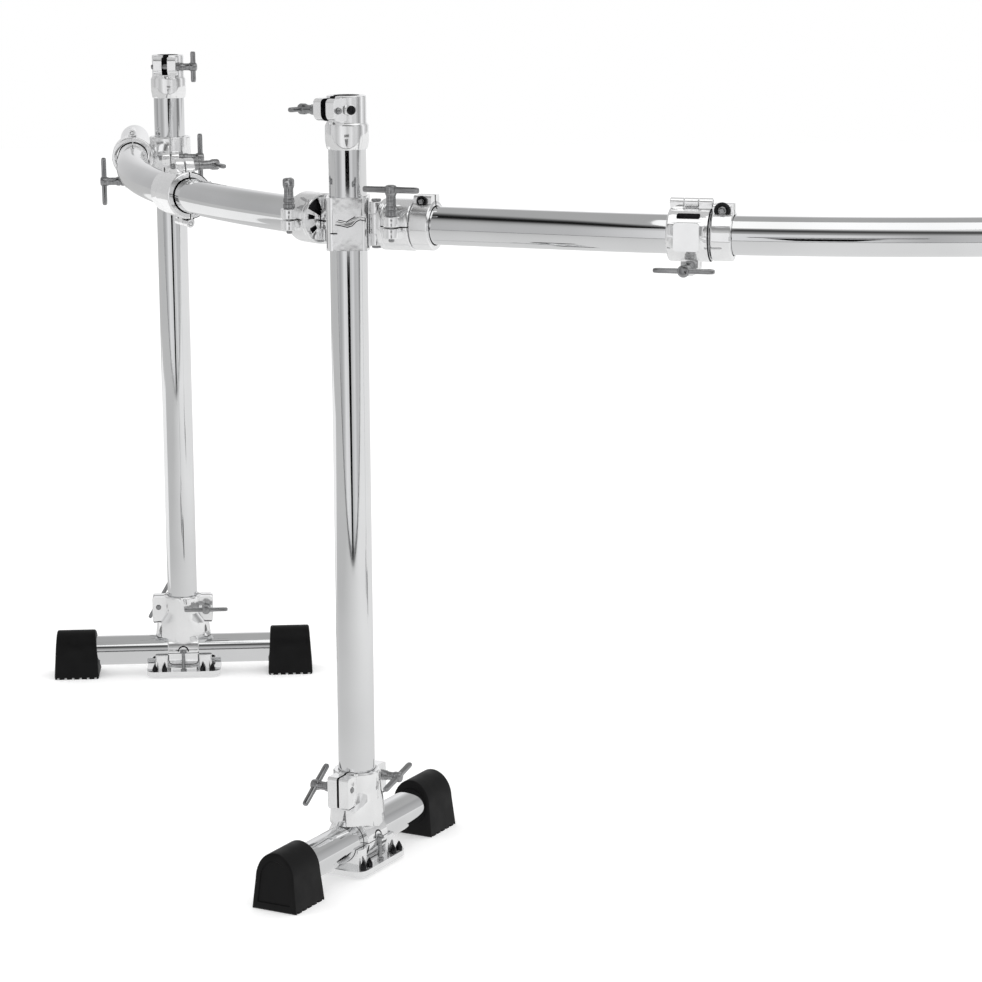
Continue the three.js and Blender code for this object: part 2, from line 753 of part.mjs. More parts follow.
function rack() {
  const front = frontRail();
  front.rotation.z = degrees(frontHeading);
  const side = wing();
  side.rotation.z = degrees(wingHeading);
  const rearPlace = wingLine.along(rearPostAlong);
  const rear = rearClamp('rear_clamp');
  rear.rotation.z = degrees(wingHeading) + rearPlace.heading - Math.PI / 2;
  rear.position.set(rearPlace.x, rearPlace.y, 0).applyAxisAngle(new THREE.Vector3(0, 0, 1), degrees(wingHeading));
  const offset = new THREE.Vector3(rearPostOffset, 0, 0).applyEuler(rear.rotation);
  rear.position.add(offset);
  const pinLeft = hingePin('hinge_pin_front_left');
  pinLeft.rotation.z = degrees(frontHeading);
  const pinWing = hingePin('hinge_pin_wing');
  pinWing.rotation.z = degrees(wingHeading);
  const rightHeading = 180 - frontHeading;
  const pinRight = hingePin('hinge_pin_front_right');
  const rightClamp = endClamp('front_right_clamp');
  rightClamp.scale.y = -1;
  const right = group(pinRight, rightClamp);
  right.rotation.z = degrees(rightHeading);
  const rightSide = group(junctionBlock('junction_block_right', [rightHeading]), right);
  rightSide.position.x = frontSpan;
  const rails = group(
    front, side, rear, pinLeft, pinWing, rightSide,
    junctionBlock('junction_block_left', [frontHeading, wingHeading]),
  );
  rails.position.z = railHeight;
  const left = postWith('front_left', frontLeftFittings);
  const rightPost = postWith('front_right', frontRightFittings);
  rightPost.position.x = frontSpan;
  const rearPost = postWith('rear_left', rearLeftFittings);
  rearPost.position.set(rear.position.x, rear.position.y, 0);
  return group(rails, left, rightPost, rearPost);
}

// The origin is at the middle of the bounding box, on the floor
const frame = new THREE.Group();
frame.add(rack());
frame.updateMatrixWorld(true);
const bounds = new THREE.Box3().setFromObject(frame, true);
frame.children[0].position.set(-(bounds.min.x + bounds.max.x) / 2, -(bounds.min.y + bounds.max.y) / 2, -bounds.min.z);

export default frame;
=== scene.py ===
import json
import math

import bmesh
import bpy
from mathutils import Matrix, Vector

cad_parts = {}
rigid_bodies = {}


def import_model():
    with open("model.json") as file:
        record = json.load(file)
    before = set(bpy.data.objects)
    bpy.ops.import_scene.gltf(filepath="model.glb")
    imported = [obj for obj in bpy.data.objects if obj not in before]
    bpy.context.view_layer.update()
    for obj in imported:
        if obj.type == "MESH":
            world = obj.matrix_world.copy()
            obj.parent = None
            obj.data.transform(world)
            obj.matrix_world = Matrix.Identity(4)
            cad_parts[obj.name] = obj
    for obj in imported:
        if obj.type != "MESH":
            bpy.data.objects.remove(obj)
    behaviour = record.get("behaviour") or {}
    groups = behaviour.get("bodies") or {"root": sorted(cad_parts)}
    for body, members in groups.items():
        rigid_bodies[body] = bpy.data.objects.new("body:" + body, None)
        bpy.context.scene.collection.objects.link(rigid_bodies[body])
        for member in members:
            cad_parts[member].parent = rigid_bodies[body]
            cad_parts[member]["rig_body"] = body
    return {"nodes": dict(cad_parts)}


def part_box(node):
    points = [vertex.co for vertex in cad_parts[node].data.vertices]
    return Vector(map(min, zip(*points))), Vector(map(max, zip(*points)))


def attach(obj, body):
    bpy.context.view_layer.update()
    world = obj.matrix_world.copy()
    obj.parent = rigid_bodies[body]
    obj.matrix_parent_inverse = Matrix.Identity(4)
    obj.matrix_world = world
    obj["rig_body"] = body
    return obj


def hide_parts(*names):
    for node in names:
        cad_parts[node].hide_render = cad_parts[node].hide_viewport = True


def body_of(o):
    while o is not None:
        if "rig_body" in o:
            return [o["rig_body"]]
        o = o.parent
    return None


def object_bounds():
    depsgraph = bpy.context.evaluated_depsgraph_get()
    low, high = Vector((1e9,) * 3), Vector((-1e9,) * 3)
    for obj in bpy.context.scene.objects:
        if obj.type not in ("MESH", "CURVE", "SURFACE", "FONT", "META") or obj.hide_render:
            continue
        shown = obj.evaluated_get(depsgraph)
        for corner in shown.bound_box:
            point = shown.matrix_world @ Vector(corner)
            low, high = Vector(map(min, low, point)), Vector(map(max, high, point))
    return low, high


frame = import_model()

solid_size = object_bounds()
mm = 0.001

# Camera
# It stands three metres in front of the near left post, a little above the rails, and
# looks slightly down on the rack through a long lens.
camera_offset = Vector((141.9, -2952.0, 997.6)) * mm
look_down = 0.2
camera_lean = -0.006


def post_axis(name):
    """The point on the floor under a post."""
    low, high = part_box(f"post_{name}")
    return Vector(((low.x + high.x) / 2, (low.y + high.y) / 2, 0))


def linked(name, data, place=Matrix()):
    """A new object of the scene, at its place."""
    piece = bpy.data.objects.new(name, data)
    bpy.context.collection.objects.link(piece)
    piece.matrix_world = place
    return piece


posts = {name: post_axis(name) for name in ("front_left", "front_right", "rear_left")}
ahead = Vector((0, math.cos(look_down), -math.sin(look_down)))
level_up = Vector((0, math.sin(look_down), math.cos(look_down)))
right = Vector((1, 0, 0)) * math.cos(camera_lean) + level_up * math.sin(camera_lean)
up = level_up * math.cos(camera_lean) - Vector((1, 0, 0)) * math.sin(camera_lean)
camera_data = bpy.data.cameras.new("camera")
camera_data.sensor_width = 36
camera_data.lens = 107.77
camera_data.clip_start = 0.05
camera_data.clip_end = 60
camera_turn = Matrix((right, up, -ahead)).transposed().to_4x4()
camera_place = Matrix.Translation(posts["front_left"] + camera_offset) @ camera_turn
bpy.context.scene.camera = linked("camera", camera_data, camera_place)

# Foot tubes
# Short lengths of chromed steel tube, one across the bottom of each post. The tube is
# drawn, polished along its length and plated, and its cut ends are lightly rounded.
tube_radius = 19.05 * mm
tube_wall = 1.65 * mm
tube_sides = 72
cut_end = 0.5 * mm
foot_tube_half = 158.5 * mm
foot_tube_height = 32 * mm
foot_headings = {"front_left": 62, "front_right": 118, "rear_left": 4}
noise_low, noise_high = 0.3, 0.7


def finish_nodes(name):
    """A new material with its shader, its node tree and the piece's own coordinates."""
    material = bpy.data.materials.new(name)
    material.use_nodes = True
    tree = material.node_tree
    shader = tree.nodes["Principled BSDF"]
    place = tree.nodes.new("ShaderNodeTexCoord").outputs["Object"]
    return material, tree, shader, place


def grain(tree, place, stretch, scale, detail):
    """Noise over the piece, stretched along each of its axes."""
    mapping = tree.nodes.new("ShaderNodeMapping")
    mapping.inputs["Scale"].default_value = stretch
    tree.links.new(place, mapping.inputs["Vector"])
    noise = tree.nodes.new("ShaderNodeTexNoise")
    noise.inputs["Scale"].default_value = scale
    noise.inputs["Detail"].default_value = detail
    tree.links.new(mapping.outputs["Vector"], noise.inputs["Vector"])
    return noise.outputs["Fac"]


def ranged(tree, value, start, end, low=0, high=1):
    """A value carried from one range over to another."""
    spread = tree.nodes.new("ShaderNodeMapRange")
    for socket, number in zip(("From Min", "From Max", "To Min", "To Max"), (start, end, low, high)):
        spread.inputs[socket].default_value = number
    tree.links.new(value, spread.inputs["Value"])
    return spread.outputs["Result"]


def ramped(tree, value, stops):
    """A colour that runs through stops of (position, colour)."""
    ramp = tree.nodes.new("ShaderNodeValToRGB")
    while len(ramp.color_ramp.elements) < len(stops):
        ramp.color_ramp.elements.new(0.5)
    for stop, (position, colour) in zip(ramp.color_ramp.elements, stops):
        stop.position = position
        stop.color = (*colour, 1)
    tree.links.new(value, ramp.inputs["Fac"])
    return ramp.outputs["Color"]


def surface(name, metal, drift, colours, roughness, height, relief=None, shine=0.5):
    """A finish whose colour and roughness drift with one noise. Its skin rises with the same
    one or with another, by a height in metres. A noise is (stretch, scale, detail)."""
    material, tree, shader, place = finish_nodes(name)
    shader.inputs["Metallic"].default_value = metal
    shader.inputs["Specular IOR Level"].default_value = shine
    tone = grain(tree, place, *drift)
    colour = ramped(tree, tone, list(zip((noise_low, noise_high), colours)))
    tree.links.new(colour, shader.inputs["Base Color"])
    tree.links.new(ranged(tree, tone, noise_low, noise_high, *roughness), shader.inputs["Roughness"])
    bump = tree.nodes.new("ShaderNodeBump")
    bump.inputs["Strength"].default_value = 1
    bump.inputs["Distance"].default_value = height
    tree.links.new(grain(tree, place, *relief) if relief else tone, bump.inputs["Height"])
    tree.links.new(bump.outputs["Normal"], shader.inputs["Normal"])
    return material


# Mirror plating over the fine lines that polishing leaves.
chrome = surface(
    "tube_chrome", 1, ((1, 1, 1), 9, 3), ((0.80, 0.805, 0.81), (0.87, 0.875, 0.88)), (0.035, 0.075),
    0.000002, relief=((260, 260, 260), 1, 2),
)


def outward(name, bm):
    """The finished mesh, with its faces turned outwards."""
    bmesh.ops.recalc_face_normals(bm, faces=bm.faces)
    mesh = bpy.data.meshes.new(name)
    bm.to_mesh(mesh)
    bm.free()
    return mesh


def skinned(name, rows, closed=False):
    """A skin over rows of points, capped at both ends or closed from the last row to the first."""
    bm = bmesh.new()
    rings = [[bm.verts.new(point) for point in row] for row in rows]
    for ring, after in zip(rings, rings[1:] + rings[:1] if closed else rings[1:]):
        for j in range(len(ring)):
            k = (j + 1) % len(ring)
            bm.faces.new((ring[j], ring[k], after[k], after[j]))
    if not closed:
        bm.faces.new(rings[0])
        bm.faces.new(rings[-1])
    return outward(name, bm)


def around(sides):
    """Angles evenly round a circle."""
    return [2 * math.pi * i / sides for i in range(sides)]


def circle(centre, side, rise, radius, sides=tube_sides):
    """Points round a centre, in the plane of two directions."""
    return [centre + radius * (side * math.cos(a) + rise * math.sin(a)) for a in around(sides)]


def smooth(mesh, corner):
    """Smooth shading, with edges kept sharp from an angle in degrees."""
    mesh.polygons.foreach_set("use_smooth", [True] * len(mesh.polygons))
    mesh.set_sharp_from_angle(angle=math.radians(corner))


def tube_mesh(name, stations):
    """A tube with rounded ends along stations of (centre, side, rise)."""
    (first, *first_turn), (last, *last_turn) = stations[0], stations[-1]
    start = (stations[1][0] - first).normalized() * cut_end
    end = (last - stations[-2][0]).normalized() * cut_end
    rows = [(first, *first_turn, tube_radius - cut_end)]
    rows += [(first + start * steps, *first_turn, tube_radius) for steps in (1, 1.6, 4)]
    rows += [(*station, tube_radius) for station in stations[1:-1]]
    rows += [(last - end * steps, *last_turn, tube_radius) for steps in (4, 1.6, 1)]
    rows += [(last, *last_turn, tube_radius - cut_end)]
    rows += [(*station, tube_radius - tube_wall) for station in reversed(stations)]
    mesh = skinned(name, [circle(*row) for row in rows], closed=True)
    smooth(mesh, 50)
    mesh.materials.append(chrome)
    return mesh


def put(name, mesh, place, node):
    """Sets a piece in place of the solid it stands for, on the body that the solid rides on."""
    piece = linked(name, mesh, place)
    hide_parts(node)
    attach(piece, body_of(frame["nodes"][node])[0])


def turn(degrees, axis="Z"):
    return Matrix.Rotation(math.radians(degrees), 4, axis)


def move(x, y, z):
    return Matrix.Translation((x, y, z))


along_x = turn(90, "Y")
along_y = turn(-90, "X")
foot_tube_mesh = tube_mesh("foot_tube", [
    (Vector((foot_tube_half * share, 0, 0)), Vector((0, 1, 0)), Vector((0, 0, 1)))
    for share in (-1, -0.5, 0, 0.5, 1)
])
leg_places = {name: Matrix.Translation(posts[name]) @ turn(foot_headings[name]) for name in posts}
for name, leg in leg_places.items():
    put(f"chromed_foot_tube_{name}", foot_tube_mesh, leg @ move(0, 0, foot_tube_height),
        f"foot_tube_{name}")

# Rubber feet
# Solid black rubber blocks, moulded with an arched top, a panel sunk in the outer face and
# grooves across the sole, and pressed over the ends of each foot tube.
foot_length = 58 * mm
foot_half_width = 26 * mm
foot_shoulder = 22.5 * mm
foot_tall = 60 * mm
foot_taper = 0.13
foot_edge = 2.4 * mm
foot_overlap = 9 * mm
foot_panel_share = 0.74
foot_panel_depth = 1.2 * mm
socket_room = 0.2 * mm
play = 0.3 * mm
groove_width = 3.2 * mm
groove_depth = 2.2 * mm
groove_count = 6


def arch(scale):
    """The foot's outline across the tube, as (width, height) pairs round from one side."""
    side = [(-foot_half_width, 0), (foot_half_width, 0), (foot_shoulder, foot_tube_height)]
    crown = foot_tall - foot_tube_height
    for i in range(1, 24):
        angle = math.pi * i / 24
        side.append((foot_shoulder * math.cos(angle), foot_tube_height + crown * math.sin(angle)))
    side.append((-foot_shoulder, foot_tube_height))
    middle = foot_tall / 2
    return [(y * scale, middle + (z - middle) * scale) for y, z in side]


def foot_mesh(outer):
    """One foot, whose sunk panel faces outwards and whose tube enters at the other face."""
    half = foot_length / 2
    inset = 1 - foot_edge / foot_half_width
    softer = 1 - foot_edge * 0.3 / foot_half_width
    sections = [
        (-half, inset), (-half + foot_edge * 0.35, softer), (-half + foot_edge, 1), (half - foot_edge, 1),
        (half - foot_edge * 0.35, softer), (half, inset), (half, foot_panel_share),
        (half - foot_panel_depth, foot_panel_share - 0.03),
    ]
    return skinned("rubber_foot", [
        [(outer * x * (1 - foot_taper * z / foot_tall), y, z) for y, z in arch(scale)]
        for x, scale in sections
    ])


def box_mesh(low, high):
    """A block between two corners, for joining and cutting."""
    size = [b - a for a, b in zip(low, high)]
    middle = [(a + b) / 2 for a, b in zip(low, high)]
    bm = bmesh.new()
    bmesh.ops.create_cube(bm, size=1, matrix=Matrix.Translation(middle) @ Matrix.Diagonal((*size, 1)))
    return outward("block", bm)


def turned(outline, place=Matrix(), sides=64):
    """A round form about Z, from an outline of (radius, height) pairs, moved to its place."""
    bm = bmesh.new()
    rings = []
    for radius, z in outline:
        angles = around(sides) if radius > 0 else [0]
        rings.append([bm.verts.new((radius * math.cos(a), radius * math.sin(a), z)) for a in angles])
    for ring, after in zip(rings, rings[1:]):
        for j in range(sides):
            k = (j + 1) % sides
            corners = [row[i % len(row)] for row, i in ((ring, j), (ring, k), (after, k), (after, j))]
            corners = [v for i, v in enumerate(corners) if v not in corners[:i]]
            if len(corners) > 2:
                bm.faces.new(corners)
    mesh = outward("turned", bm)
    mesh.transform(place)
    return mesh


def rod(radius, low, high, place=Matrix(), edge=0, sides=64):
    """A round bar about Z from low to high, its rims rounded by edge."""
    if not edge:
        return turned([(0, low), (radius, low), (radius, high), (0, high)], place, sides)
    lift = edge * 0.3
    outline = [
        (0, low), (radius - edge, low), (radius - lift, low + lift), (radius, low + edge),
        (radius, high - edge), (radius - lift, high - lift), (radius - edge, high), (0, high),
    ]
    return turned(outline, place, sides)


def mirror(mesh, axis):
    """Turns a mesh into its mirror image along an axis."""
    mesh.transform(Matrix.Scale(-1, 4, axis))
    mesh.flip_normals()


def evaluated(body):
    """The mesh of an object after its modifiers."""
    bpy.context.view_layer.update()
    view = bpy.context.evaluated_depsgraph_get()
    return bpy.data.meshes.new_from_object(body.evaluated_get(view), depsgraph=view)


def carved(name, solids, hollows, edge, finishes, hand=1):
    """One piece: its solids joined, its hollows cut out and its edges rounded."""
    blanks = []
    for i, mesh in enumerate(solids + hollows):
        if hand < 0:
            mirror(mesh, (0, 1, 0))
        if not mesh.materials:
            # Faces cut by the hollows take the second finish when there is one; on castings that is the dark
            # finish that paints shade into cuts.
            inside = int(i >= len(solids) and len(finishes) > 1)
            mesh.polygons.foreach_set("material_index", [inside] * len(mesh.polygons))
        for finish in finishes[len(mesh.materials):]:
            mesh.materials.append(finish)
        blanks.append(linked("blank", mesh))
    body = blanks[0]
    for i, blank in enumerate(blanks[1:], 1):
        step = body.modifiers.new("step", "BOOLEAN")
        step.solver = "EXACT"
        step.object = blank
        step.operation = "UNION" if i < len(solids) else "DIFFERENCE"
    if edge:
        soften = body.modifiers.new("edges", "BEVEL")
        soften.width = edge
        soften.segments = 2
        soften.limit_method = "ANGLE"
        soften.angle_limit = math.radians(32)
    mesh = evaluated(body)
    for blank in blanks:
        bpy.data.objects.remove(blank)
    smooth(mesh, 42)
    shaped = linked("blank", mesh)
    shaped.modifiers.new("flat", "WEIGHTED_NORMAL").keep_sharp = True
    mesh = evaluated(shaped)
    mesh.name = name
    bpy.data.objects.remove(shaped)
    return mesh


# Black moulded rubber: a dull skin with a fine grain, a little grey where it rubs.
rubber = surface(
    "foot_rubber", 0, ((1, 1, 1), 60, 6), ((0.0012, 0.0012, 0.0013), (0.004, 0.004, 0.0043)), (0.4, 0.56),
    0.00005, relief=((1, 1, 1), 1400, 3), shine=0.2,
)
along_foot = move(0, 0, foot_tube_height) @ along_x


def rubber_foot(outer):
    """A foot with its socket and with grooves cut across its sole."""
    half = foot_length / 2
    reach = foot_half_width * 1.2
    socket = rod(tube_radius + socket_room, -half - foot_length, half - foot_overlap, along_foot,
                 sides=tube_sides)
    if outer < 0:
        mirror(socket, (1, 0, 0))
    middles = [foot_length * ((i + 0.5) / groove_count - 0.5) for i in range(groove_count)]
    grooves = [
        box_mesh((x - groove_width / 2, -reach, -1 * mm), (x + groove_width / 2, reach, groove_depth))
        for x in middles
    ]
    return carved("rubber_foot", [foot_mesh(outer)], [socket, *grooves], 0, [rubber])


ends = {"left": -1, "right": 1}
rubber_foot_meshes = {end: rubber_foot(outer) for end, outer in ends.items()}
foot_centre = foot_tube_half + play + foot_overlap - foot_length / 2
for name, leg in leg_places.items():
    for end, outer in ends.items():
        put(f"moulded_foot_{name}_{end}", rubber_foot_meshes[end], leg @ move(outer * foot_centre, 0, 0),
            f"rubber_foot_{name}_{end}")

# Leg clamps
# A chromed zinc casting: a split socket for the post that spreads into a skirt over the
# foot tube. The base below it is a strap on a plate, drawn up by bolts at both sides.
socket_radius = 25 * mm
socket_top = 105 * mm
post_seat = 57.7 * mm
post_bore = 19.5 * mm
ear_reach = 39 * mm
ear_half = 10 * mm
ear_face = ear_half + 2.4 * mm
ear_slot = 2.6 * mm
ear_screw_reach = 31 * mm
ear_screw_height = 91 * mm
bolt_hole = 3.4 * mm
bolt_sides = 24
saddle_radius = 25.1 * mm
jaw_gap = 0.8 * mm
strap_half = 20 * mm
base_half_length = 48 * mm
base_half_width = 33 * mm
base_low = 3 * mm
base_top = 9 * mm
cheek_reach = 28 * mm
cheek_top = 28.5 * mm
casting_edge = 0.9 * mm
rim_edge = 1.2 * mm
far = 100 * mm

# Bright plating over a polished casting, whose faces stay very slightly wavy.
casting = surface(
    "cast_chrome", 0.8, ((1, 1, 1), 55, 2), ((0.92, 0.922, 0.925), (0.97, 0.972, 0.975)), (0.04, 0.09),
    0.00012,
)
# Inside faces: a dark, dull finish, painted shade for the dark insides of bores, slots, pockets and fine
# grooves.
cut_face_shade = surface(
    "painted_cut_face_shade", 1, ((1, 1, 1), 400, 4), ((0.02, 0.02, 0.022), (0.06, 0.06, 0.065)), (0.4, 0.6),
    0.00005,
)


def cast(name, solids, hollows=(), edge=0, hand=1):
    """A plated casting, with the dark inside finish, painted shade, where it is bored or cut."""
    return carved(name, solids, list(hollows), edge, [casting, cut_face_shade], hand)


def sawn(outline, low, high, place=Matrix()):
    """A plate cut to an outline in X and Y, from low to high along Z."""
    bm = bmesh.new()
    under = [bm.verts.new((x, y, low)) for x, y in outline]
    over = [bm.verts.new((x, y, high)) for x, y in outline]
    bm.faces.new(under)
    bm.faces.new(over)
    for j in range(len(outline)):
        k = (j + 1) % len(outline)
        bm.faces.new((under[j], under[k], over[k], over[j]))
    mesh = outward("sawn", bm)
    mesh.transform(place)
    return mesh


def arc(x, y, radius, start, end, steps=8):
    """Points on a circle, from one angle to another in degrees."""
    angles = [math.radians(start + (end - start) * i / steps) for i in range(steps + 1)]
    return [(x + radius * math.cos(a), y + radius * math.sin(a)) for a in angles]


def rounded(half_x, half_y, corner):
    """A rectangle with round corners."""
    x, y = half_x - corner, half_y - corner
    middles = ((x, y), (-x, y), (-x, -y), (x, -y))
    return [point for i, (a, b) in enumerate(middles) for point in arc(a, b, corner, 90 * i, 90 * i + 90)]


def sized(rows):
    """Rows of measures written in millimetres."""
    return [tuple(value * mm for value in row) for row in rows]


def drawn(points, depth):
    """A line through points of X and Z in millimetres, at a depth in metres."""
    return [Vector((x * mm, depth, z * mm)) for x, z in points]


def seam(points, radius):
    """A thin closed cord through points, for cutting a fine groove along them. On a casting the groove takes
    the dark inside finish and draws a dark line, painted shade along an edge, fold or joint.
    """
    rows = []
    for i, point in enumerate(points):
        run = (points[min(i + 1, len(points) - 1)] - points[max(i - 1, 0)]).normalized()
        side = run.cross(Vector((0.31, 0.17, 0.94))).normalized()
        rows.append(circle(point, side, run.cross(side), radius, 8))
    return skinned("seam", rows)


def saddle_seam(points, face, radius):
    """A groove over the round of the saddle or the strap, on its front or back face."""
    line = []
    for x, z in points:
        lift = min(abs(z - foot_tube_height), saddle_radius)
        line.append(Vector((x, face * math.sqrt(saddle_radius * saddle_radius - lift * lift), z)))
    return seam(line, radius)


def skirt_mesh():
    """The socket and the oval skirt below it, through sections of (height, length, width)."""
    sections = [
        (32, 37, 26), (45, 36.4, 26), (58, 35, 25.8), (70, 33.6, 25.3), (76, 30.5, 25), (82, 26, 25),
        (87, 25, 25), (103, 25, 25), (105, 23.6, 23.6),
    ]
    return skinned("lofted", [
        [(length * math.cos(a), width * math.sin(a), z) for a in around(64)]
        for z, length, width in sized(sections)
    ])


def leg_casting():
    """The socket, its ears and the skirt that spreads over the tube, in the axes of the leg."""
    split = foot_tube_height + jaw_gap / 2
    ear_round = 3 * mm
    ear_outline = arc(ear_reach - ear_round, socket_top - 4 * mm, ear_round, 90, 0)
    ear_outline += sized([(39, 73), (37, 70), (29, 70.6), (22, 73), (15, 78), (11, 85)])
    ear_outline += [(-x, z) for x, z in reversed(ear_outline)]
    ears = sawn(ear_outline, -ear_face, ear_face, turn(90, "X"))
    brim = sized([(-100, 50.5), (-22, 51.5), (0, 45.5), (22, 51.5), (100, 50.5)])
    below_brim = sawn(brim + [(far, -far), (-far, -far)], -far, far, turn(90, "X"))
    skirt = carved("skirt", [skirt_mesh(), ears], [below_brim], 0, [casting])
    saddle = rod(saddle_radius, -strap_half, strap_half, along_foot, rim_edge)
    upper_saddle = carved("saddle", [saddle], [box_mesh((-far, -far, -far), (far, far, split))], 0, [casting])
    hollows = [rod(post_bore, post_seat, socket_top + far), rod(post_bore, -far, far, along_foot)]
    for side in (-1, 1):
        low_x, high_x = sorted((0, side * far))
        hollows.append(box_mesh((low_x, -ear_slot / 2, 72 * mm), (high_x, ear_slot / 2, far + socket_top)))
        screw = move(side * ear_screw_reach, 0, ear_screw_height) @ along_y
        hollows.append(rod(bolt_hole, -far, far, screw, sides=bolt_sides))
    # Dark grooves, painted shade: under the V of the brim on both faces, in a small arch over the saddle and
    # along the lower edges of the ears.
    lines = []
    for face in (-1, 1):
        rim = [Vector((x, face * 25.3 * mm, z - 0.7 * mm)) for x, z in brim[1:-1]]
        lines.append(seam(rim, 0.75 * mm))
        lines.append(saddle_seam(arc(0, split + 1.5 * mm, 6.6 * mm, 0, 180, 10), face, 0.9 * mm))
        for side in (-1, 1):
            edge = [(side * x, z) for x, z in ((38, 71.4), (29, 72), (23, 74), (17, 78.5), (14, 84))]
            lines.append(seam(drawn(edge, face * ear_face), 0.55 * mm))
    groove_outline = rounded(1.4 * mm, 11 * mm, 1.3 * mm)
    groove = carved("groove", [sawn(groove_outline, socket_radius - 0.5 * mm, far)], [], 0, [casting])
    back_groove = groove.copy()
    groove_place = move(0, 0, 86 * mm) @ turn(90, "X")
    groove.transform(groove_place)
    back_groove.transform(turn(180) @ groove_place)
    plain = cast("leg_plain", [skirt, upper_saddle], [*hollows, groove, back_groove], casting_edge)
    return cast("leg_clamp", [plain], lines)


def leg_base():
    """The strap under the tube with a block at each side of it, on their plate."""
    split = foot_tube_height - jaw_gap / 2
    rooted = base_top - 1 * mm
    strap = rod(saddle_radius, -strap_half, strap_half, along_foot, rim_edge)
    plate = sawn(rounded(base_half_length, base_half_width, 12 * mm), base_low, base_top)
    cheeks = [
        sawn(rounded(8.5 * mm, 24 * mm, 4 * mm), rooted, cheek_top, move(side * cheek_reach, 0, 0))
        for side in (-1, 1)
    ]
    foot = sawn(rounded(strap_half, base_half_width - 6 * mm, 6 * mm), rooted, base_top + 4 * mm)
    hollows = [
        box_mesh((-far, -far, split), (far, far, far)),
        box_mesh((-far, -far, -far), (far, far, base_low)),
        rod(post_bore, -far, far, along_foot),
    ]
    # Dark grooves, painted shade, along the bends of the strap on its front and back faces.
    bend = [(19.2, 30), (19.2, 21), (18, 17.6), (15, 15.6), (6.5, 15)]
    bend += [(-x, z) for x, z in reversed(bend)]
    strap_shade_lines = [saddle_seam(sized(bend), face, 0.75 * mm) for face in (-1, 1)]
    plain = cast("base_plain", [strap, plate, *cheeks, foot], hollows, casting_edge)
    return cast("leg_clamp_base", [plain], strap_shade_lines)


leg_clamp_mesh = leg_casting()
leg_base_mesh = leg_base()
for name, leg in leg_places.items():
    put(f"cast_leg_clamp_{name}", leg_clamp_mesh, leg, f"leg_clamp_{name}")
    put(f"cast_leg_base_{name}", leg_base_mesh, leg, f"leg_clamp_base_{name}")

# Corner bolts and centre bolts of the leg clamps
# Pairs of small acorn nuts of blackened steel hold the plate at each corner, and a bolt with
# a bright round head draws the strap up at the front and at the back.
acorn_radius = 3.6 * mm
acorn_tall = 10.5 * mm
acorn_reach = 31 * mm
acorn_apart = 6.2 * mm
acorn_out = 28.2 * mm
centre_bolt_out = 26.6 * mm
centre_bolt_radius = 2.2 * mm
centre_head_radius = 4.6 * mm
centre_head_height = 32.6 * mm
head_sides = 32

# Blackened fasteners: dark, a little shiny, worn lighter in patches.
blackened = surface(
    "black_steel", 1, ((1, 1, 1), 300, 3), ((0.012, 0.012, 0.013), (0.05, 0.05, 0.052)), (0.2, 0.34),
    0.00003,
)
# Bright plating over turned steel, with fine rings round the screw's axis.
plated = surface(
    "screw_steel", 1, ((60, 60, 1600), 1, 2), ((0.27, 0.272, 0.276), (0.44, 0.443, 0.447)), (0.12, 0.24),
    0.00001,
)


def corner_bolts():
    """A pair of acorn nuts at each corner of the plate."""
    outline = [(0, 0), (0.85, 0), (1, 1 * mm), (1, 3.4 * mm), (0.8, 5.6 * mm), (0.45, 8 * mm)]
    outline += [(0.2, acorn_tall - 0.6 * mm), (0, acorn_tall)]
    nut = [(acorn_radius * share, z) for share, z in outline]
    places = [
        move(x * acorn_reach + step * acorn_apart, y * acorn_out, base_top - 0.4 * mm)
        for x in (-1, 1) for y in (-1, 1) for step in (-1, 1)
    ]
    return carved("side_bolts", [turned(nut, place, 20) for place in places], [], 0, [blackened])


def centre_bolts():
    """The bright round heads and the shanks at the middle of the strap."""
    parts = []
    for side in (-1, 1):
        place = move(0, side * centre_bolt_out, 0)
        parts.append(rod(centre_bolt_radius, base_top, 35 * mm, place, sides=bolt_sides))
        collar = (centre_bolt_radius * 1.8, base_top, base_top + 2.6 * mm)
        parts.append(rod(*collar, place, 0.6 * mm, bolt_sides))
        head = [(0, 0), *arc(0, 0, centre_head_radius, 0, 75, 5), (0, centre_head_radius)]
        parts.append(turned(head, place @ move(0, 0, centre_head_height), head_sides))
    return carved("centre_bolts", parts, [], 0, [plated])


def add(name, mesh, place, body):
    """Sets a small piece that has no solid of its own on a body."""
    piece = linked(name, mesh, place)
    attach(piece, body)


corner_bolts_mesh = corner_bolts()
centre_bolts_mesh = centre_bolts()
for name, leg in leg_places.items():
    add(f"corner_bolts_{name}", corner_bolts_mesh, leg, f"{name}_foot")
    add(f"centre_bolts_{name}", centre_bolts_mesh, leg, f"{name}_foot")

# Wing screws of the leg clamps
# Steel screws with a waisted, ringed hub and a cast cross bar, one through each ear of a
# socket. The two on a leg point opposite ways, and each bar rests where it was left.
bolt_radius = 3 * mm
bar_thick = 5.5 * mm
bar_tall = 7.5 * mm
ear_hub_radius = 5.5 * mm
ear_hub_length = 26 * mm
ear_bar_span = 56 * mm
ear_bolt_tail = 13.5 * mm
ear_screw_spins = {
    "front_left": {"right": 15, "left": -34},
    "front_right": {"right": 35, "left": -20},
    "rear_left": {"right": 0, "left": -60},
}


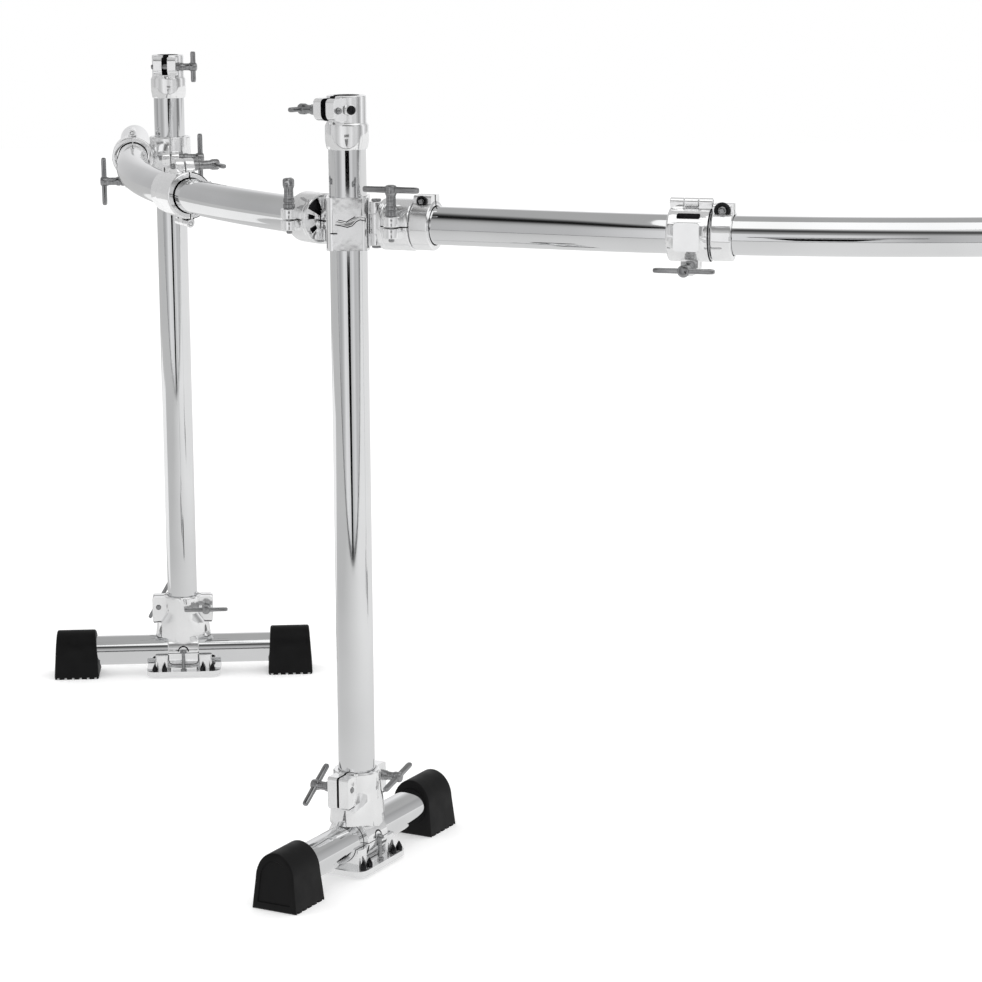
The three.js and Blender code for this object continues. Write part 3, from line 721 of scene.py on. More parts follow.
def cross_bar(span, tall, thick, top):
    """The screw's bar: flat arms of even thickness that rise a little to blunt ends."""
    shares = [(-1, 0.45), (-0.985, 0.7), (-0.94, 0.86), (-0.8, 0.92), (-0.55, 0.9), (-0.25, 0.94), (0, 1)]
    shares += [(-x, size) for x, size in reversed(shares[:-1])]
    rows = []
    for x, size in shares:
        row = []
        for a in around(24):
            c, s = math.cos(a), math.sin(a)
            y = math.copysign(abs(c) ** 0.7, c) * thick / 2 * size
            z = math.copysign(abs(s) ** 0.7, s) * tall / 2 * size
            row.append((x * span / 2, y, top - tall / 2 + z))
        rows.append(row)
    return skinned("cross_bar", rows)


def hand_screw(name, seat, tail, radius, length, span):
    """A screw along Z: bolt, hub with two grooves and a cross bar, seated at a height."""
    under = seat + play
    top = under + length
    groove = radius * 0.86
    waist = radius * 0.8
    outline = [
        (0, -tail), (bolt_radius * 0.75, -tail), (bolt_radius, -tail + 1 * mm), (bolt_radius, under),
        (radius - 0.5 * mm, under), (radius, under + 0.5 * mm), (radius, under + length * 0.14),
        (groove, under + length * 0.16), (groove, under + length * 0.19),
        (radius * 0.97, under + length * 0.21), (radius * 0.95, under + length * 0.3),
        (waist, under + length * 0.36), (waist, top - bar_tall - length * 0.12),
        (radius * 0.95, top - bar_tall - length * 0.05), (radius, top - bar_tall), (radius, top - 2.4 * mm),
        (radius * 0.88, top - 1 * mm), (radius * 0.6, top - 0.2 * mm), (0, top),
    ]
    bar = cross_bar(span, bar_tall - 0.6 * mm, bar_thick, top - 1.6 * mm)
    return carved(name, [turned(outline, sides=40), bar], [], 0.5 * mm, [plated])


ear_screw_mesh = hand_screw("leg_wing_screw", ear_half, ear_bolt_tail, ear_hub_radius, ear_hub_length,
                            ear_bar_span)
for name, leg in leg_places.items():
    for end, side in ends.items():
        place = leg @ move(side * ear_screw_reach, 0, ear_screw_height) @ turn(side * 90, "X")
        put(f"wing_screw_{name}_{end}", ear_screw_mesh, place @ turn(ear_screw_spins[name][end]),
            f"leg_wing_screw_{name}_{end}")

# Posts
# Straight lengths of the same chromed tube, standing in the leg clamps.
post_length = 712 * mm
post_foot = 58 * mm
post_top = post_foot + post_length
post_stations = [
    (Vector((0, 0, post_foot + post_length * i / 8)), Vector((1, 0, 0)), Vector((0, 1, 0))) for i in range(9)
]
post_mesh = tube_mesh("post", post_stations)
for name, axis in posts.items():
    put(f"chromed_post_{name}", post_mesh, Matrix.Translation(axis), f"post_{name}")

# Rails
# Two long tubes, rolled to a bow: the front rail from post to post, and the side wing, which
# runs back past the rear post. Each is straight where its end clamp grips it.
rail_height = 676 * mm
front_span = 1200 * mm
front_straight = 250 * mm
front_bend_radius = 1000 * mm
wing_length = 1130 * mm
wing_straight = 120 * mm
wing_bend_radius = 1100 * mm
wing_bend_length = 600 * mm
wing_heading = math.radians(127.5)
rail_start = 46.3 * mm
front_reach = math.hypot(front_bend_radius, front_straight)
front_bend = 2 * (math.asin(front_span / 2 / front_reach) - math.atan(front_straight / front_bend_radius))
front_heading = -front_bend / 2
front_bend_length = front_bend * front_bend_radius
front_length = 2 * front_straight + front_bend_length


def rail_point(distance, straight, bend_radius, bend_length, way):
    """The place and heading at a distance along a rail, in the rail's own axes."""
    bent = min(max(distance - straight, 0), bend_length)
    beyond = max(distance - straight - bend_length, 0)
    angle = bent / bend_radius
    x = min(distance, straight) + bend_radius * math.sin(angle) + beyond * math.cos(angle)
    y = way * (bend_radius * (1 - math.cos(angle)) + beyond * math.sin(angle))
    return x, y, way * angle


def on_front(distance):
    """The rack's axes carried to a place on the front rail, X along the rail."""
    x, y, angle = rail_point(distance, front_straight, front_bend_radius, front_bend_length, 1)
    return front_place @ move(x, y, 0) @ turn(math.degrees(angle))


def on_wing(distance):
    """The rack's axes carried to a place on the wing rail, X along the rail."""
    x, y, angle = rail_point(distance, wing_straight, wing_bend_radius, wing_bend_length, -1)
    return wing_place @ move(x, y, 0) @ turn(math.degrees(angle))


left_joint, right_joint, rear_joint = (
    Matrix.Translation(axis) @ move(0, 0, rail_height) for axis in posts.values()
)
front_place = left_joint @ turn(math.degrees(front_heading))
wing_place = left_joint @ turn(math.degrees(wing_heading))


def rail_mesh(name, line, start, end, steps):
    """A rail as a bowed tube."""
    stations = []
    for i in range(steps + 1):
        place = line(start + (end - start) * i / steps)
        stations.append((place.translation, place.col[1].to_3d(), Vector((0, 0, 1))))
    return tube_mesh(name, stations)


put("chromed_rail_front", rail_mesh("rail_front", on_front, rail_start, front_length - rail_start, 64),
    Matrix(), "rail_front")
put("chromed_rail_wing", rail_mesh("rail_wing", on_wing, rail_start, wing_length, 60),
    Matrix(), "rail_wing")

# Junction blocks
# Cast blocks split at the back, one on each front post. Pairs of lugs hold the knuckle of
# each rail's end clamp on a steel pin with a head at both ends.
block_half_width = 21.5 * mm
block_half_depth = 23 * mm
block_half_height = 26.5 * mm
block_corner = 7 * mm
block_slot = 2.4 * mm
pin_reach = 31 * mm
pin_radius = 3.2 * mm
pin_head_radius = 5 * mm
pin_head_length = 2.5 * mm
pin_sides = 32
barrel_edge = 0.8 * mm
block_inset = 1.2 * mm
barrel_radius = 7 * mm
tongue_half = 9.5 * mm
lug_low = 9.8 * mm
lug_top = 22 * mm
knuckle_room = 1 * mm
pin_hole = pin_radius + 0.2 * mm
pin_place = move(pin_reach, 0, 0)


def lever(front):
    """The low curled rib cast across the front face."""
    curl = [(-12, 2.6), (-9, 4.2), (-5, 3.4), (-1, 2.2), (3, 4.6), (8, 7.6), (13, 9), (17, 8), (18, 5)]
    curl += [(16, 4.4), (13, 5.4), (9, 3.6), (5, -0.6), (0, -2.2), (-5, -0.8), (-9, 0.2), (-12, 0.4)]
    rib = sawn(sized(curl), -front - 2 * mm, -front + 1.6 * mm, turn(90, "X"))
    return cast("lever", [rib], edge=0.7 * mm)


def junction_block(name, headings):
    """One block with its hinge lugs, in the axes of its post."""
    outline = rounded(block_half_width, block_half_depth, block_corner)
    solids = [sawn(outline, -block_half_height, block_half_height)]
    hollows = [
        rod(post_bore, -far, far),
        box_mesh((-block_slot / 2, 0, -far), (block_slot / 2, far, far)),
    ]
    rooms = []
    for heading in headings:
        place = turn(math.degrees(heading))
        pin = place @ pin_place
        for low, high in ((lug_low, lug_top), (-lug_top, -lug_low)):
            web = box_mesh((0, -barrel_radius, low), (pin_reach, barrel_radius, high))
            web.transform(place)
            solids += [rod(barrel_radius, low, high, pin, barrel_edge, pin_sides), web]
        room = barrel_radius + knuckle_room
        rooms += [
            rod(pin_hole, -far, far, pin, sides=pin_sides),
            rod(room, -lug_low, lug_low, pin, sides=pin_sides),
            rod(pin_head_radius + knuckle_room, lug_top, far, pin, sides=pin_sides),
            rod(pin_head_radius + knuckle_room, -far, -lug_top, pin, sides=pin_sides),
        ]
    roomy = carved(name, solids, rooms, 0, [casting])
    plain = cast(name, [roomy], hollows, casting_edge)
    front = -block_half_depth
    # Dark grooves, painted shade: a short line across the front, one down each front corner, and along the
    # lower and upper folds of the cast rib.
    mark = [(-20.4, -9), (-16, -9), (-10, -9)]
    shaded = [(-12, 0.2), (-5, -1), (0, -2.6), (5, -1), (9, 3.2), (13, 5), (16, 4), (18.4, 5)]
    bright = [(-9, 4.6), (-5, 3.8), (-1, 2.6), (3, 5), (8, 8)]
    lines = [seam(drawn(mark, front), 0.7 * mm)]
    side = block_half_width - block_inset
    for x, radius in ((-side, 0.5 * mm), (side, 0.9 * mm)):
        lines.append(seam([Vector((x, front + 3 * mm, z * mm)) for z in (-24, 0, 24)], radius))
    lines += [seam(drawn(shaded, front), 0.75 * mm), seam(drawn(bright, front), 0.45 * mm)]
    return cast(name, [plain, lever(front)], lines)


def hinge_pin():
    """The pin with its two heads."""
    end = lug_top + play
    parts = [
        rod(pin_radius, -end, end, sides=pin_sides),
        rod(pin_head_radius, end - 0.1 * mm, end + pin_head_length, edge=0.9 * mm, sides=pin_sides),
        rod(pin_head_radius, -end - pin_head_length, -end + 0.1 * mm, edge=0.9 * mm, sides=pin_sides),
    ]
    return carved("hinge_pin", parts, [], 0, [plated])


right_heading = math.pi - front_heading
put("cast_junction_left", junction_block("junction_left", [front_heading, wing_heading]), left_joint,
    "junction_block_left")
put("cast_junction_right", junction_block("junction_right", [right_heading]), right_joint,
    "junction_block_right")
hinge_pin_mesh = hinge_pin()
right_place = right_joint @ turn(math.degrees(right_heading))
for name, place in (("front_left", front_place), ("wing", wing_place), ("front_right", right_place)):
    put(f"pin_{name}", hinge_pin_mesh, place @ pin_place, f"hinge_pin_{name}")

# Rail end clamps
# Hinged rings of cast, chromed zinc. The base carries a flange and the knuckle that turns on
# the junction's pin; the cap swings on a hinge at the back and a T-screw shuts it in front.
ring_radius = 26 * mm
ring_split = 1.2 * mm
ring_lug_radius = 8.5 * mm
ring_lug_reach = 31 * mm
ring_lug_height = 11 * mm
ring_knuckle_radius = 4.5 * mm
ring_knuckle_half = 7 * mm
ring_knuckle_edge = 0.7 * mm
ring_hinge_reach = 30.9 * mm
ring_pin_radius = 2 * mm
rim = 1.8 * mm
end_start = 41 * mm
end_flange = 5 * mm
end_width = 34 * mm
pocket_depth = 3.4 * mm
pocket_shapes = (
    (30, 68, 8, 24), (3, 18, 13, 21), (-42, -24, 13, 21), (112, 150, 8, 24), (162, 177, 13, 21),
    (204, 222, 13, 21),
)
t_hub_radius = 6 * mm
t_hub_length = 31 * mm
t_bar_span = 60 * mm
t_bolt_tail = 14.5 * mm


def ring_half(name, side, low, high, bore_radius, extras=(), hand=1):
    """Half of a ring round a rail along X, split at Z = 0, hinge at +Y and lug at -Y."""
    face = side * ring_split / 2
    middle = (low + high) / 2
    ends = sorted((face, side * ring_lug_height))
    web = sorted((face, side * ring_knuckle_radius))
    lug_place = move(middle, -ring_lug_reach, 0)
    lug = rod(ring_lug_radius, *ends, lug_place, rim_edge, pin_sides)
    neck = box_mesh((middle - ring_lug_radius, -ring_lug_reach, ends[0]),
                    (middle + ring_lug_radius, 0, ends[1]))
    solids = [rod(ring_radius, low, high, along_x, rim), *extras, lug, neck]
    reach = ring_hinge_reach
    hinge = move(0, reach, 0) @ along_x
    spans = [(middle - ring_knuckle_half, middle + ring_knuckle_half)]
    if side > 0:
        gap = ring_knuckle_half + play
        spans = [(low, middle - gap), (middle + gap, high)]
    for start, end in spans:
        solids.append(rod(ring_knuckle_radius, start, end, hinge, ring_knuckle_edge, pin_sides))
        start, end = start + ring_knuckle_edge, end - ring_knuckle_edge
        solids.append(box_mesh((start, 0, web[0]), (end, reach, web[1])))
    away = sorted((face, -side * far))
    hollows = [
        box_mesh((low - far, -ring_radius - 2 * mm, away[0]), (high + far, ring_radius - 0.5 * mm, away[1])),
        rod(bore_radius, low - far, high + far, along_x),
        rod(bolt_hole, -far, far, lug_place, sides=bolt_sides),
    ]
    if side > 0:
        hollows.append(rod(ring_pin_radius + play, low - far, high + far, hinge, sides=pin_sides))
        return cast(name, solids, hollows, casting_edge, hand)
    half = cast(name, solids, hollows, casting_edge, hand)
    pin = rod(ring_pin_radius, low, high, hinge, 0.4 * mm, pin_sides)
    if hand < 0:
        mirror(pin, (0, 1, 0))
    return cast(name, [half, pin])


def pocket(start, end, inner, outer):
    """A hollow in a flange's face between two angles, its face at X = end_start."""
    outline = arc(0, 0, outer * mm, start, end) + arc(0, 0, inner * mm, end, start)
    return sawn(outline, -2 * mm, pocket_depth, move(end_start, 0, 0) @ turn(90) @ turn(90, "X"))


def end_base(name, hand):
    """The end clamp's lower half with its ribbed flange and its knuckle."""
    low = end_start + end_flange
    flange = rod(ring_radius, end_start, low + 0.5 * mm, along_x, rim_edge)
    knuckle = rod(barrel_radius, -tongue_half, tongue_half, pin_place, barrel_edge, pin_sides)
    tongue = box_mesh((pin_reach, -barrel_radius, -tongue_half), (low, barrel_radius, tongue_half))
    hollow = rod(pin_hole, -far, far, pin_place, sides=pin_sides)
    lower = ring_half(name + "_half", -1, low, end_start + end_width, post_bore, hand=hand)
    pockets = [pocket(*shape) for shape in pocket_shapes]
    joints = []
    for face in (-1, 1):
        joints.append(seam(drawn([(27, -1), (34, -1), (41, -1)], face * barrel_radius), 0.9 * mm))
        joints.append(seam(drawn([(39, -10), (39, 0), (39, 10)], face * barrel_radius), 1.3 * mm))
    return cast(name, [lower, flange, knuckle, tongue], [hollow, *pockets, *joints])


def end_cap(name, hand):
    """The end clamp's upper half."""
    low = end_start + end_flange + play
    return ring_half(name, 1, low, end_start + end_width, post_bore, hand=hand)


t_screw_mesh = hand_screw("t_screw", ring_lug_height, t_bolt_tail, t_hub_radius, t_hub_length, t_bar_span)
end_middle = end_start + (end_flange + end_width) / 2
end_clamps = {
    "front_left": (front_place, 1, 0),
    "front_right": (right_place, -1, 0),
    "wing": (wing_place, -1, 38),
}
for name, (place, hand, spin) in end_clamps.items():
    put(f"cast_end_base_{name}", end_base(f"end_base_{name}", hand), place,
        f"{name}_clamp_base")
    put(f"cast_end_cap_{name}", end_cap(f"end_cap_{name}", hand), place, f"{name}_clamp_cap")
    screw_place = place @ move(end_middle, -hand * ring_lug_reach, 0) @ turn(hand * spin)
    put(f"t_screw_{name}", t_screw_mesh, screw_place, f"{name}_clamp_t_screw")

# Memory locks
# Narrow split collars of chromed zinc, each shut by a square-headed key screw through the
# pair of ears on top. They stay on the rail and mark where a clamp belongs.
lock_radius = 25 * mm
lock_width = 20 * mm
lock_slot = 2.4 * mm
lock_lug_half = 11 * mm
lock_lug_top = 30.5 * mm
lock_screw_height = 24.8 * mm
lock_corner = 3 * mm
end_key_radius = 5.6 * mm
side_key_radius = 8 * mm
key_hole = 2.7 * mm
key_stem = 2.5 * mm
key_edge = 0.2 * mm
key_sides = 48
key_place = move(lock_width / 2, 0, lock_screw_height) @ turn(90, "X")
rail_bore = 20.05 * mm
ring_half_width = 21 * mm
lock_gap = 0.6 * mm
lock_reach = ring_half_width + lock_gap
front_accessory_along = 360 * mm
wing_accessory_along = 356 * mm
# Carries an outline's X and Y over to Y and Z, so that a plate faces along X.
facing_x = Matrix(((0, 0, 1, 0), (1, 0, 0, 0), (0, 1, 0, 0), (0, 0, 0, 1)))


def memory_lock():
    """The collar, its slot and its ears."""
    ear_outline = [(-lock_lug_half, 0), (lock_lug_half, 0)]
    out, high = lock_lug_half - lock_corner, lock_lug_top - lock_corner
    ear_outline += arc(out, high, lock_corner, 0, 90)
    ear_outline += arc(-out, high, lock_corner, 90, 180)
    ears = sawn(ear_outline, 0.6 * mm, lock_width - 0.6 * mm, facing_x)
    collar = rod(lock_radius, 0, lock_width, along_x, 1.6 * mm)
    hollows = [
        rod(rail_bore, -far, far, along_x),
        box_mesh((-far, -lock_slot / 2, 0), (far, lock_slot / 2, far)),
        rod(key_hole, -far, far, key_place, sides=pin_sides),
    ]
    return cast("memory_lock", [collar, ears], hollows, casting_edge)


def key_screw(head_radius):
    """A drum key screw: a stepped round head, its square and the end of its thread."""
    seat = lock_lug_half
    inner = head_radius * 0.62
    head = turned([
        (0, seat), (head_radius - 0.5 * mm, seat), (head_radius, seat + 0.6 * mm),
        (head_radius, seat + 1.9 * mm), (head_radius - 0.7 * mm, seat + 2.5 * mm),
        (inner + 0.5 * mm, seat + 2.5 * mm), (inner, seat + 1.6 * mm), (0, seat + 1.6 * mm),
    ], key_place, key_sides)
    button = turned([
        (0, seat + 1 * mm), (inner - 0.9 * mm, seat + 1 * mm), (inner - 0.9 * mm, seat + 2.7 * mm),
        (inner - 1.6 * mm, seat + 3.3 * mm), (0, seat + 3.3 * mm),
    ], key_place, key_sides)
    square = sawn(rounded(2.1 * mm, 2.1 * mm, 0.5 * mm), seat + 3 * mm, seat + 4.9 * mm, key_place @ turn(20))
    bright = [carved("bright", [part], [], key_edge, [plated]) for part in (button, square)]
    stem = rod(key_stem, -lock_lug_half, seat + 1 * mm, key_place, 0.4 * mm, bolt_sides)
    for part in bright:
        part.materials.clear()
        part.materials.append(blackened)
        part.materials.append(plated)
        part.polygons.foreach_set("material_index", [1] * len(part.polygons))
    return carved("key_screw", [head, stem, *bright], [], 0, [blackened, plated])


lock_mesh = memory_lock()
key_screw_meshes = {radius: key_screw(radius) for radius in (end_key_radius, side_key_radius)}
lock_places = {
    "front_left": (on_front(end_start + end_width + lock_gap), "front_rail", end_key_radius),
    "front_accessory": (on_front(front_accessory_along + lock_reach), "front_accessory_lock",
                        side_key_radius),
    "wing_accessory": (on_wing(wing_accessory_along + lock_reach), "wing_accessory_lock",
                       side_key_radius),
}
for name, (place, body, head) in lock_places.items():
    put(f"cast_lock_{name}", lock_mesh, place, f"memory_lock_{name}")
    add(f"key_screw_{name}", key_screw_meshes[head], place, body)

# Accessory clamps
# Wider rings of the same kind, turned on the rail so that the hinge and the screw lie
# above and below it. The cap has a raised panel, where an accessory is bolted on.
panel_half_length = 12.5 * mm
panel_half_height = 13.5 * mm
panel_rise = 2.6 * mm


def accessory_cap():
    """The upper half with its panel."""
    panel = sawn(rounded(panel_half_length, panel_half_height, 3 * mm), 0, ring_radius + panel_rise)
    plain = ring_half("plain_cap", 1, -ring_half_width, ring_half_width, rail_bore, extras=(panel,))
    slot = sawn(rounded(11.5 * mm, 2.3 * mm, 1.5 * mm), 12.5 * mm, far, move(0, 19.4 * mm, 0))
    # A dark groove round the end face near its rim: painted shade.
    edge = arc(0, 0, ring_radius - 0.5 * mm, 6, 174, 24)
    rim_line = [Vector((ring_half_width - 0.7 * mm, y, z)) for y, z in edge]
    return cast("accessory_cap", [plain], [slot, seam(rim_line, 0.9 * mm)])


accessory_base_mesh = ring_half("accessory_base", -1, -ring_half_width, ring_half_width, rail_bore)
accessory_cap_mesh = accessory_cap()
accessory_places = {
    "front": on_front(front_accessory_along) @ turn(90, "X"),
    "wing": on_wing(wing_accessory_along) @ turn(180) @ turn(-90, "X"),
}
for name, place in accessory_places.items():
    node = f"{name}_accessory_clamp"
    put(f"cast_accessory_base_{name}", accessory_base_mesh, place, f"{node}_base")
    put(f"cast_accessory_cap_{name}", accessory_cap_mesh, place, f"{node}_cap")
    put(f"t_screw_accessory_{name}", t_screw_mesh, place @ move(0, -ring_lug_reach, 0),
        f"{node}_t_screw")

# Rear clamp
# Two rings cast as one body at right angles, one round the rear post and one round the wing
# rail beside it, each with its own cap and T-screw.
rear_offset = 47 * mm
rear_post_along = 856 * mm
post_ring_half = 25 * mm
about_post = turn(90, "Y")
about_rail = move(-rear_offset, 0, 0) @ turn(-90) @ turn(90, "X")
rear_sides = {
    "post": (about_post, post_ring_half, post_bore, 0),
    "rail": (about_rail, ring_half_width, rail_bore, 90),
}
rear_heading = on_wing(rear_post_along).to_euler().z - math.pi / 2
rear_place = rear_joint @ turn(math.degrees(rear_heading))


def rear_body():
    """The shared body: the lower halves of both rings, with both bores cut through."""
    halves = []
    for name, (about, half, radius, _) in rear_sides.items():
        ring = ring_half(f"{name}_side", -1, -half, half, radius)
        ring.transform(about)
        halves.append(ring)
    rail_axis = move(-rear_offset, 0, 0) @ along_y
    return cast("rear_body", halves, [rod(post_bore, -far, far), rod(rail_bore, -far, far, rail_axis)])


put("cast_rear_body", rear_body(), rear_place, "rear_clamp_body")
for name, (about, half, radius, _) in rear_sides.items():
    cap = ring_half(f"rear_{name}_cap", 1, -half, half, radius)
    put(f"cast_rear_{name}_cap", cap, rear_place @ about, f"rear_clamp_{name}_cap")
for name, (about, _, _, spin) in rear_sides.items():
    screw_place = rear_place @ about @ move(0, -ring_lug_reach, 0) @ turn(spin)
    put(f"t_screw_rear_{name}", t_screw_mesh, screw_place, f"rear_clamp_{name}_t_screw")

# Post-top clamps
# A turned collar that grips the post and narrows above it to a split holder for the rod of
# a tom or cymbal arm. A short wing screw draws the holder's two ears together.
collar_radius = 22 * mm
collar_foot_radius = 20.6 * mm
collar_tall = 26 * mm
collar_grip = 20.5 * mm
holder_radius = 20 * mm
holder_tall = 27.5 * mm
holder_bore = 13.2 * mm
holder_ear_reach = 33 * mm
holder_ear_half = 14 * mm
holder_slot = 7 * mm
holder_screw_reach = 26 * mm
holder_hub_length = 26 * mm
boss_heading = -33
holder_bar_span = 38 * mm
top_fittings = {"front_left": (-42, -1, 90), "front_right": (42, 1, 90), "rear_left": (-2, 1, 0)}
collar_low = post_top - collar_grip
holder_low = collar_low + collar_tall
holder_top = holder_low + holder_tall
holder_middle = holder_low + holder_tall / 2
boss_place = turn(boss_heading) @ move(0, 0, holder_middle) @ along_x


def top_casting():
    """The collar and the holder, in the axes of the post."""
    collar = turned([
        (0, collar_low), (collar_foot_radius - 0.6 * mm, collar_low),
        (collar_foot_radius, collar_low + 0.8 * mm), (collar_radius, collar_low + 9 * mm),
        (collar_radius, holder_low - 2.5 * mm), (holder_radius + 0.6 * mm, holder_low),
        (holder_radius, holder_low + 1.5 * mm), (holder_radius, holder_top - 1.4 * mm),
        (holder_radius - 0.4 * mm, holder_top - 0.4 * mm), (holder_radius - 1.4 * mm, holder_top),
        (0, holder_top),
    ])
    ear_outline = arc(-holder_ear_reach + 5 * mm, holder_top - 7 * mm, 5 * mm, 180, 90)
    ear_outline += [(0, holder_top - 2 * mm), (0, holder_low + 3 * mm)]
    ear_outline += arc(-holder_ear_reach + 8 * mm, holder_low + 11 * mm, 8 * mm, 270, 180)
    ears = sawn(ear_outline, -holder_ear_half, holder_ear_half, facing_x)
    boss = rod(5.5 * mm, 0, 21.5 * mm, boss_place, 1 * mm, pin_sides)
    hollows = [
        rod(post_bore, collar_low - far, post_top + play),
        rod(holder_bore, collar_low, far * 10),
        box_mesh((-holder_slot / 2, -far, holder_low + 3 * mm), (holder_slot / 2, 0, holder_top + far)),
        rod(bolt_hole, -far, far, move(0, -holder_screw_reach, holder_middle) @ along_x, sides=bolt_sides),
    ]
    return cast("top_clamp", [collar, ears, boss], hollows, casting_edge)


def set_screw():
    """A dome-headed set screw with a socket for a key, in the boss of the holder."""
    head = sized([(0, 20), (4.6, 20), (4.6, 22.2), (3.6, 23.6), (0, 24)])
    # The key socket takes the dark inside finish: painted shade.
    socket = rod(2 * mm, 22.6 * mm, far, boss_place, sides=6)
    return carved("set_screw", [turned(head, boss_place, head_sides)], [socket], key_edge, [blackened, cut_face_shade])


top_mesh = top_casting()
set_screw_mesh = set_screw()
top_screw_mesh = hand_screw("top_wing_screw", holder_ear_half, holder_ear_half + 3.5 * mm, ear_hub_radius,
                            holder_hub_length, holder_bar_span)
for name, (heading, side, spin) in top_fittings.items():
    place = Matrix.Translation(posts[name]) @ turn(heading)
    put(f"cast_top_clamp_{name}", top_mesh, place, f"top_clamp_{name}")
    add(f"set_screw_{name}", set_screw_mesh, place, f"{name}_top")
    screw_place = place @ move(0, -holder_screw_reach, holder_middle) @ turn(side * 90, "Y") @ turn(spin)
    put(f"top_wing_screw_{name}", top_screw_mesh, screw_place, f"top_clamp_{name}_wing_screw")

# Studio
# White paper under the rack, lit by lamps that stay out of the reflections. A soft box overhead, its black
# edges, a grey room behind the camera, a dark gap before the paper, a white patch on it and dark cards behind
# the camera
# are painted reflections: they show only in the chrome and light nothing.
paper_reach = 9.0
paper_front = 1.45
paper_glow = 0.28
paper_span = (-1.2, 0.9)
# Painted reflection: the grey that the chrome sees in the paper, lighter to the right.
paper_reflection_tones = (0.55, 0.84)
# Painted reflection: a black strip before the paper's front edge, seen only in the chrome.
gap_width = 0.1
# Painted reflection: a white sheet over the paper that shows only in the chrome.
white_reflection_patch = (-2.6, -0.75, 0.85, 2.8, 0.002)
# Painted reflection: a glowing soft box overhead that lights nothing and shows only in the chrome.
box_height = 2.3
box_outline = ((-0.05, 0.05), (-0.19, -0.32), (-0.44, -0.94), (-0.6, -1.5), (2.6, -1.6), (2.6, 0.05))
# Painted reflections: dark bands along the soft box's edges, seen only in the chrome, darkest inside each
# band.
left_edge = (-1.9, -0.45, -2.15, 0.5)
left_edge_reflection_tones = (
    (-1.9, 0.4), (-1.54, 0.34), (-1.28, 0.16), (-1.08, 0.018), (-0.9, 0.004), (-0.78, 0.03), (-0.66, 0.13),
    (-0.49, 0.42),
)
front_edge = (-0.6, 5.0, -4.0, 1.2)
front_edge_reflection_tones = (
    (-4.0, 0.5), (-1.8, 0.33), (-0.7, 0.15), (-0.27, 0.07), (0, 0.045), (0.18, 0.07), (0.5, 0.18),
    (0.9, 0.62), (1.2, 1.1),
)
front_edge_place = (-0.35, -2.35, -24.7)
# Painted reflection: black cards behind the camera, seen only in the chrome, that darken bands in the posts.
stand_distance = 3.1
stand_low = ((-0.25, -0.5), (0.2, -0.5), (0.45, 0.28), (-0.5, 0.28))
stand_top = ((-0.62, 0.4), (0.75, 0.4), (0.75, 0.56), (-0.62, 0.56))


def along_axis(tree, place, axis):
    """One coordinate of a place."""
    split = tree.nodes.new("ShaderNodeSeparateXYZ")
    tree.links.new(place, split.inputs["Vector"])
    return split.outputs[axis]


def card(name, corners, material, place=Matrix()):
    """A flat sheet through its corners."""
    bm = bmesh.new()
    bm.faces.new([bm.verts.new(Vector(corner)) for corner in corners])
    mesh = bpy.data.meshes.new(name)
    bm.to_mesh(mesh)
    bm.free()
    mesh.materials.append(material)
    piece = linked(name, mesh, place)
    return piece


def level(left, right_side, front, back, height=0):
    """The corners of a level sheet."""
    outline = ((left, front), (right_side, front), (right_side, back), (left, back))
    return [(x, y, height) for x, y in outline]


def unlit(name):
    """A new material that reflects nothing, for a sheet that only shines."""
    material, tree, shader, place = finish_nodes(name)
    shader.inputs["Base Color"].default_value = (0, 0, 0, 1)
    shader.inputs["Specular IOR Level"].default_value = 0
    shader.inputs["Emission Strength"].default_value = 1
    return material, tree, shader, place


def glow(name, grey):
    """A flat even tone."""
    material, _, shader, _ = unlit(name)
    shader.inputs["Emission Color"].default_value = (grey, grey, grey, 1)
    return material


def graded(name, axis, tones):
    """A tone that changes along one axis of the card, from (place, tone) pairs."""
    material, tree, shader, place = unlit(name)
    start, end = tones[0][0], tones[-1][0]
    stops = [((where - start) / (end - start), (tone, tone, tone)) for where, tone in tones]
    along = ranged(tree, along_axis(tree, place, axis), start, end)
    tree.links.new(ramped(tree, along, stops), shader.inputs["Emission Color"])
    return material


def paper():
    """White to the camera, with the rack's shadow on it; in the chrome, a painted reflection of grey that
    lightens along X.
    """
    material, tree, shader, place = finish_nodes("paper")
    shader.inputs["Base Color"].default_value = (0.82, 0.82, 0.82, 1)
    shader.inputs["Roughness"].default_value = 0.9
    shader.inputs["Specular IOR Level"].default_value = 0
    shader.inputs["Emission Color"].default_value = (1, 1, 1, 1)
    shader.inputs["Emission Strength"].default_value = paper_glow
    # Glossy rays see a painted reflection, a grey that lightens along X, instead of the lit paper.
    tone = ranged(tree, along_axis(tree, place, "X"), *paper_span, *paper_reflection_tones)
    mirrored = tree.nodes.new("ShaderNodeEmission")
    tree.links.new(tone, mirrored.inputs["Color"])
    rays = tree.nodes.new("ShaderNodeLightPath")
    chosen = tree.nodes.new("ShaderNodeMixShader")
    tree.links.new(rays.outputs["Is Glossy Ray"], chosen.inputs["Fac"])
    tree.links.new(shader.outputs["BSDF"], chosen.inputs[1])
    tree.links.new(mirrored.outputs["Emission"], chosen.inputs[2])
    tree.links.new(chosen.outputs["Shader"], tree.nodes["Material Output"].inputs["Surface"])
    return material


studio = Matrix.Translation(posts["front_left"])
card("studio_floor", level(-paper_reach, paper_reach, -paper_front, paper_reach), paper(), studio)
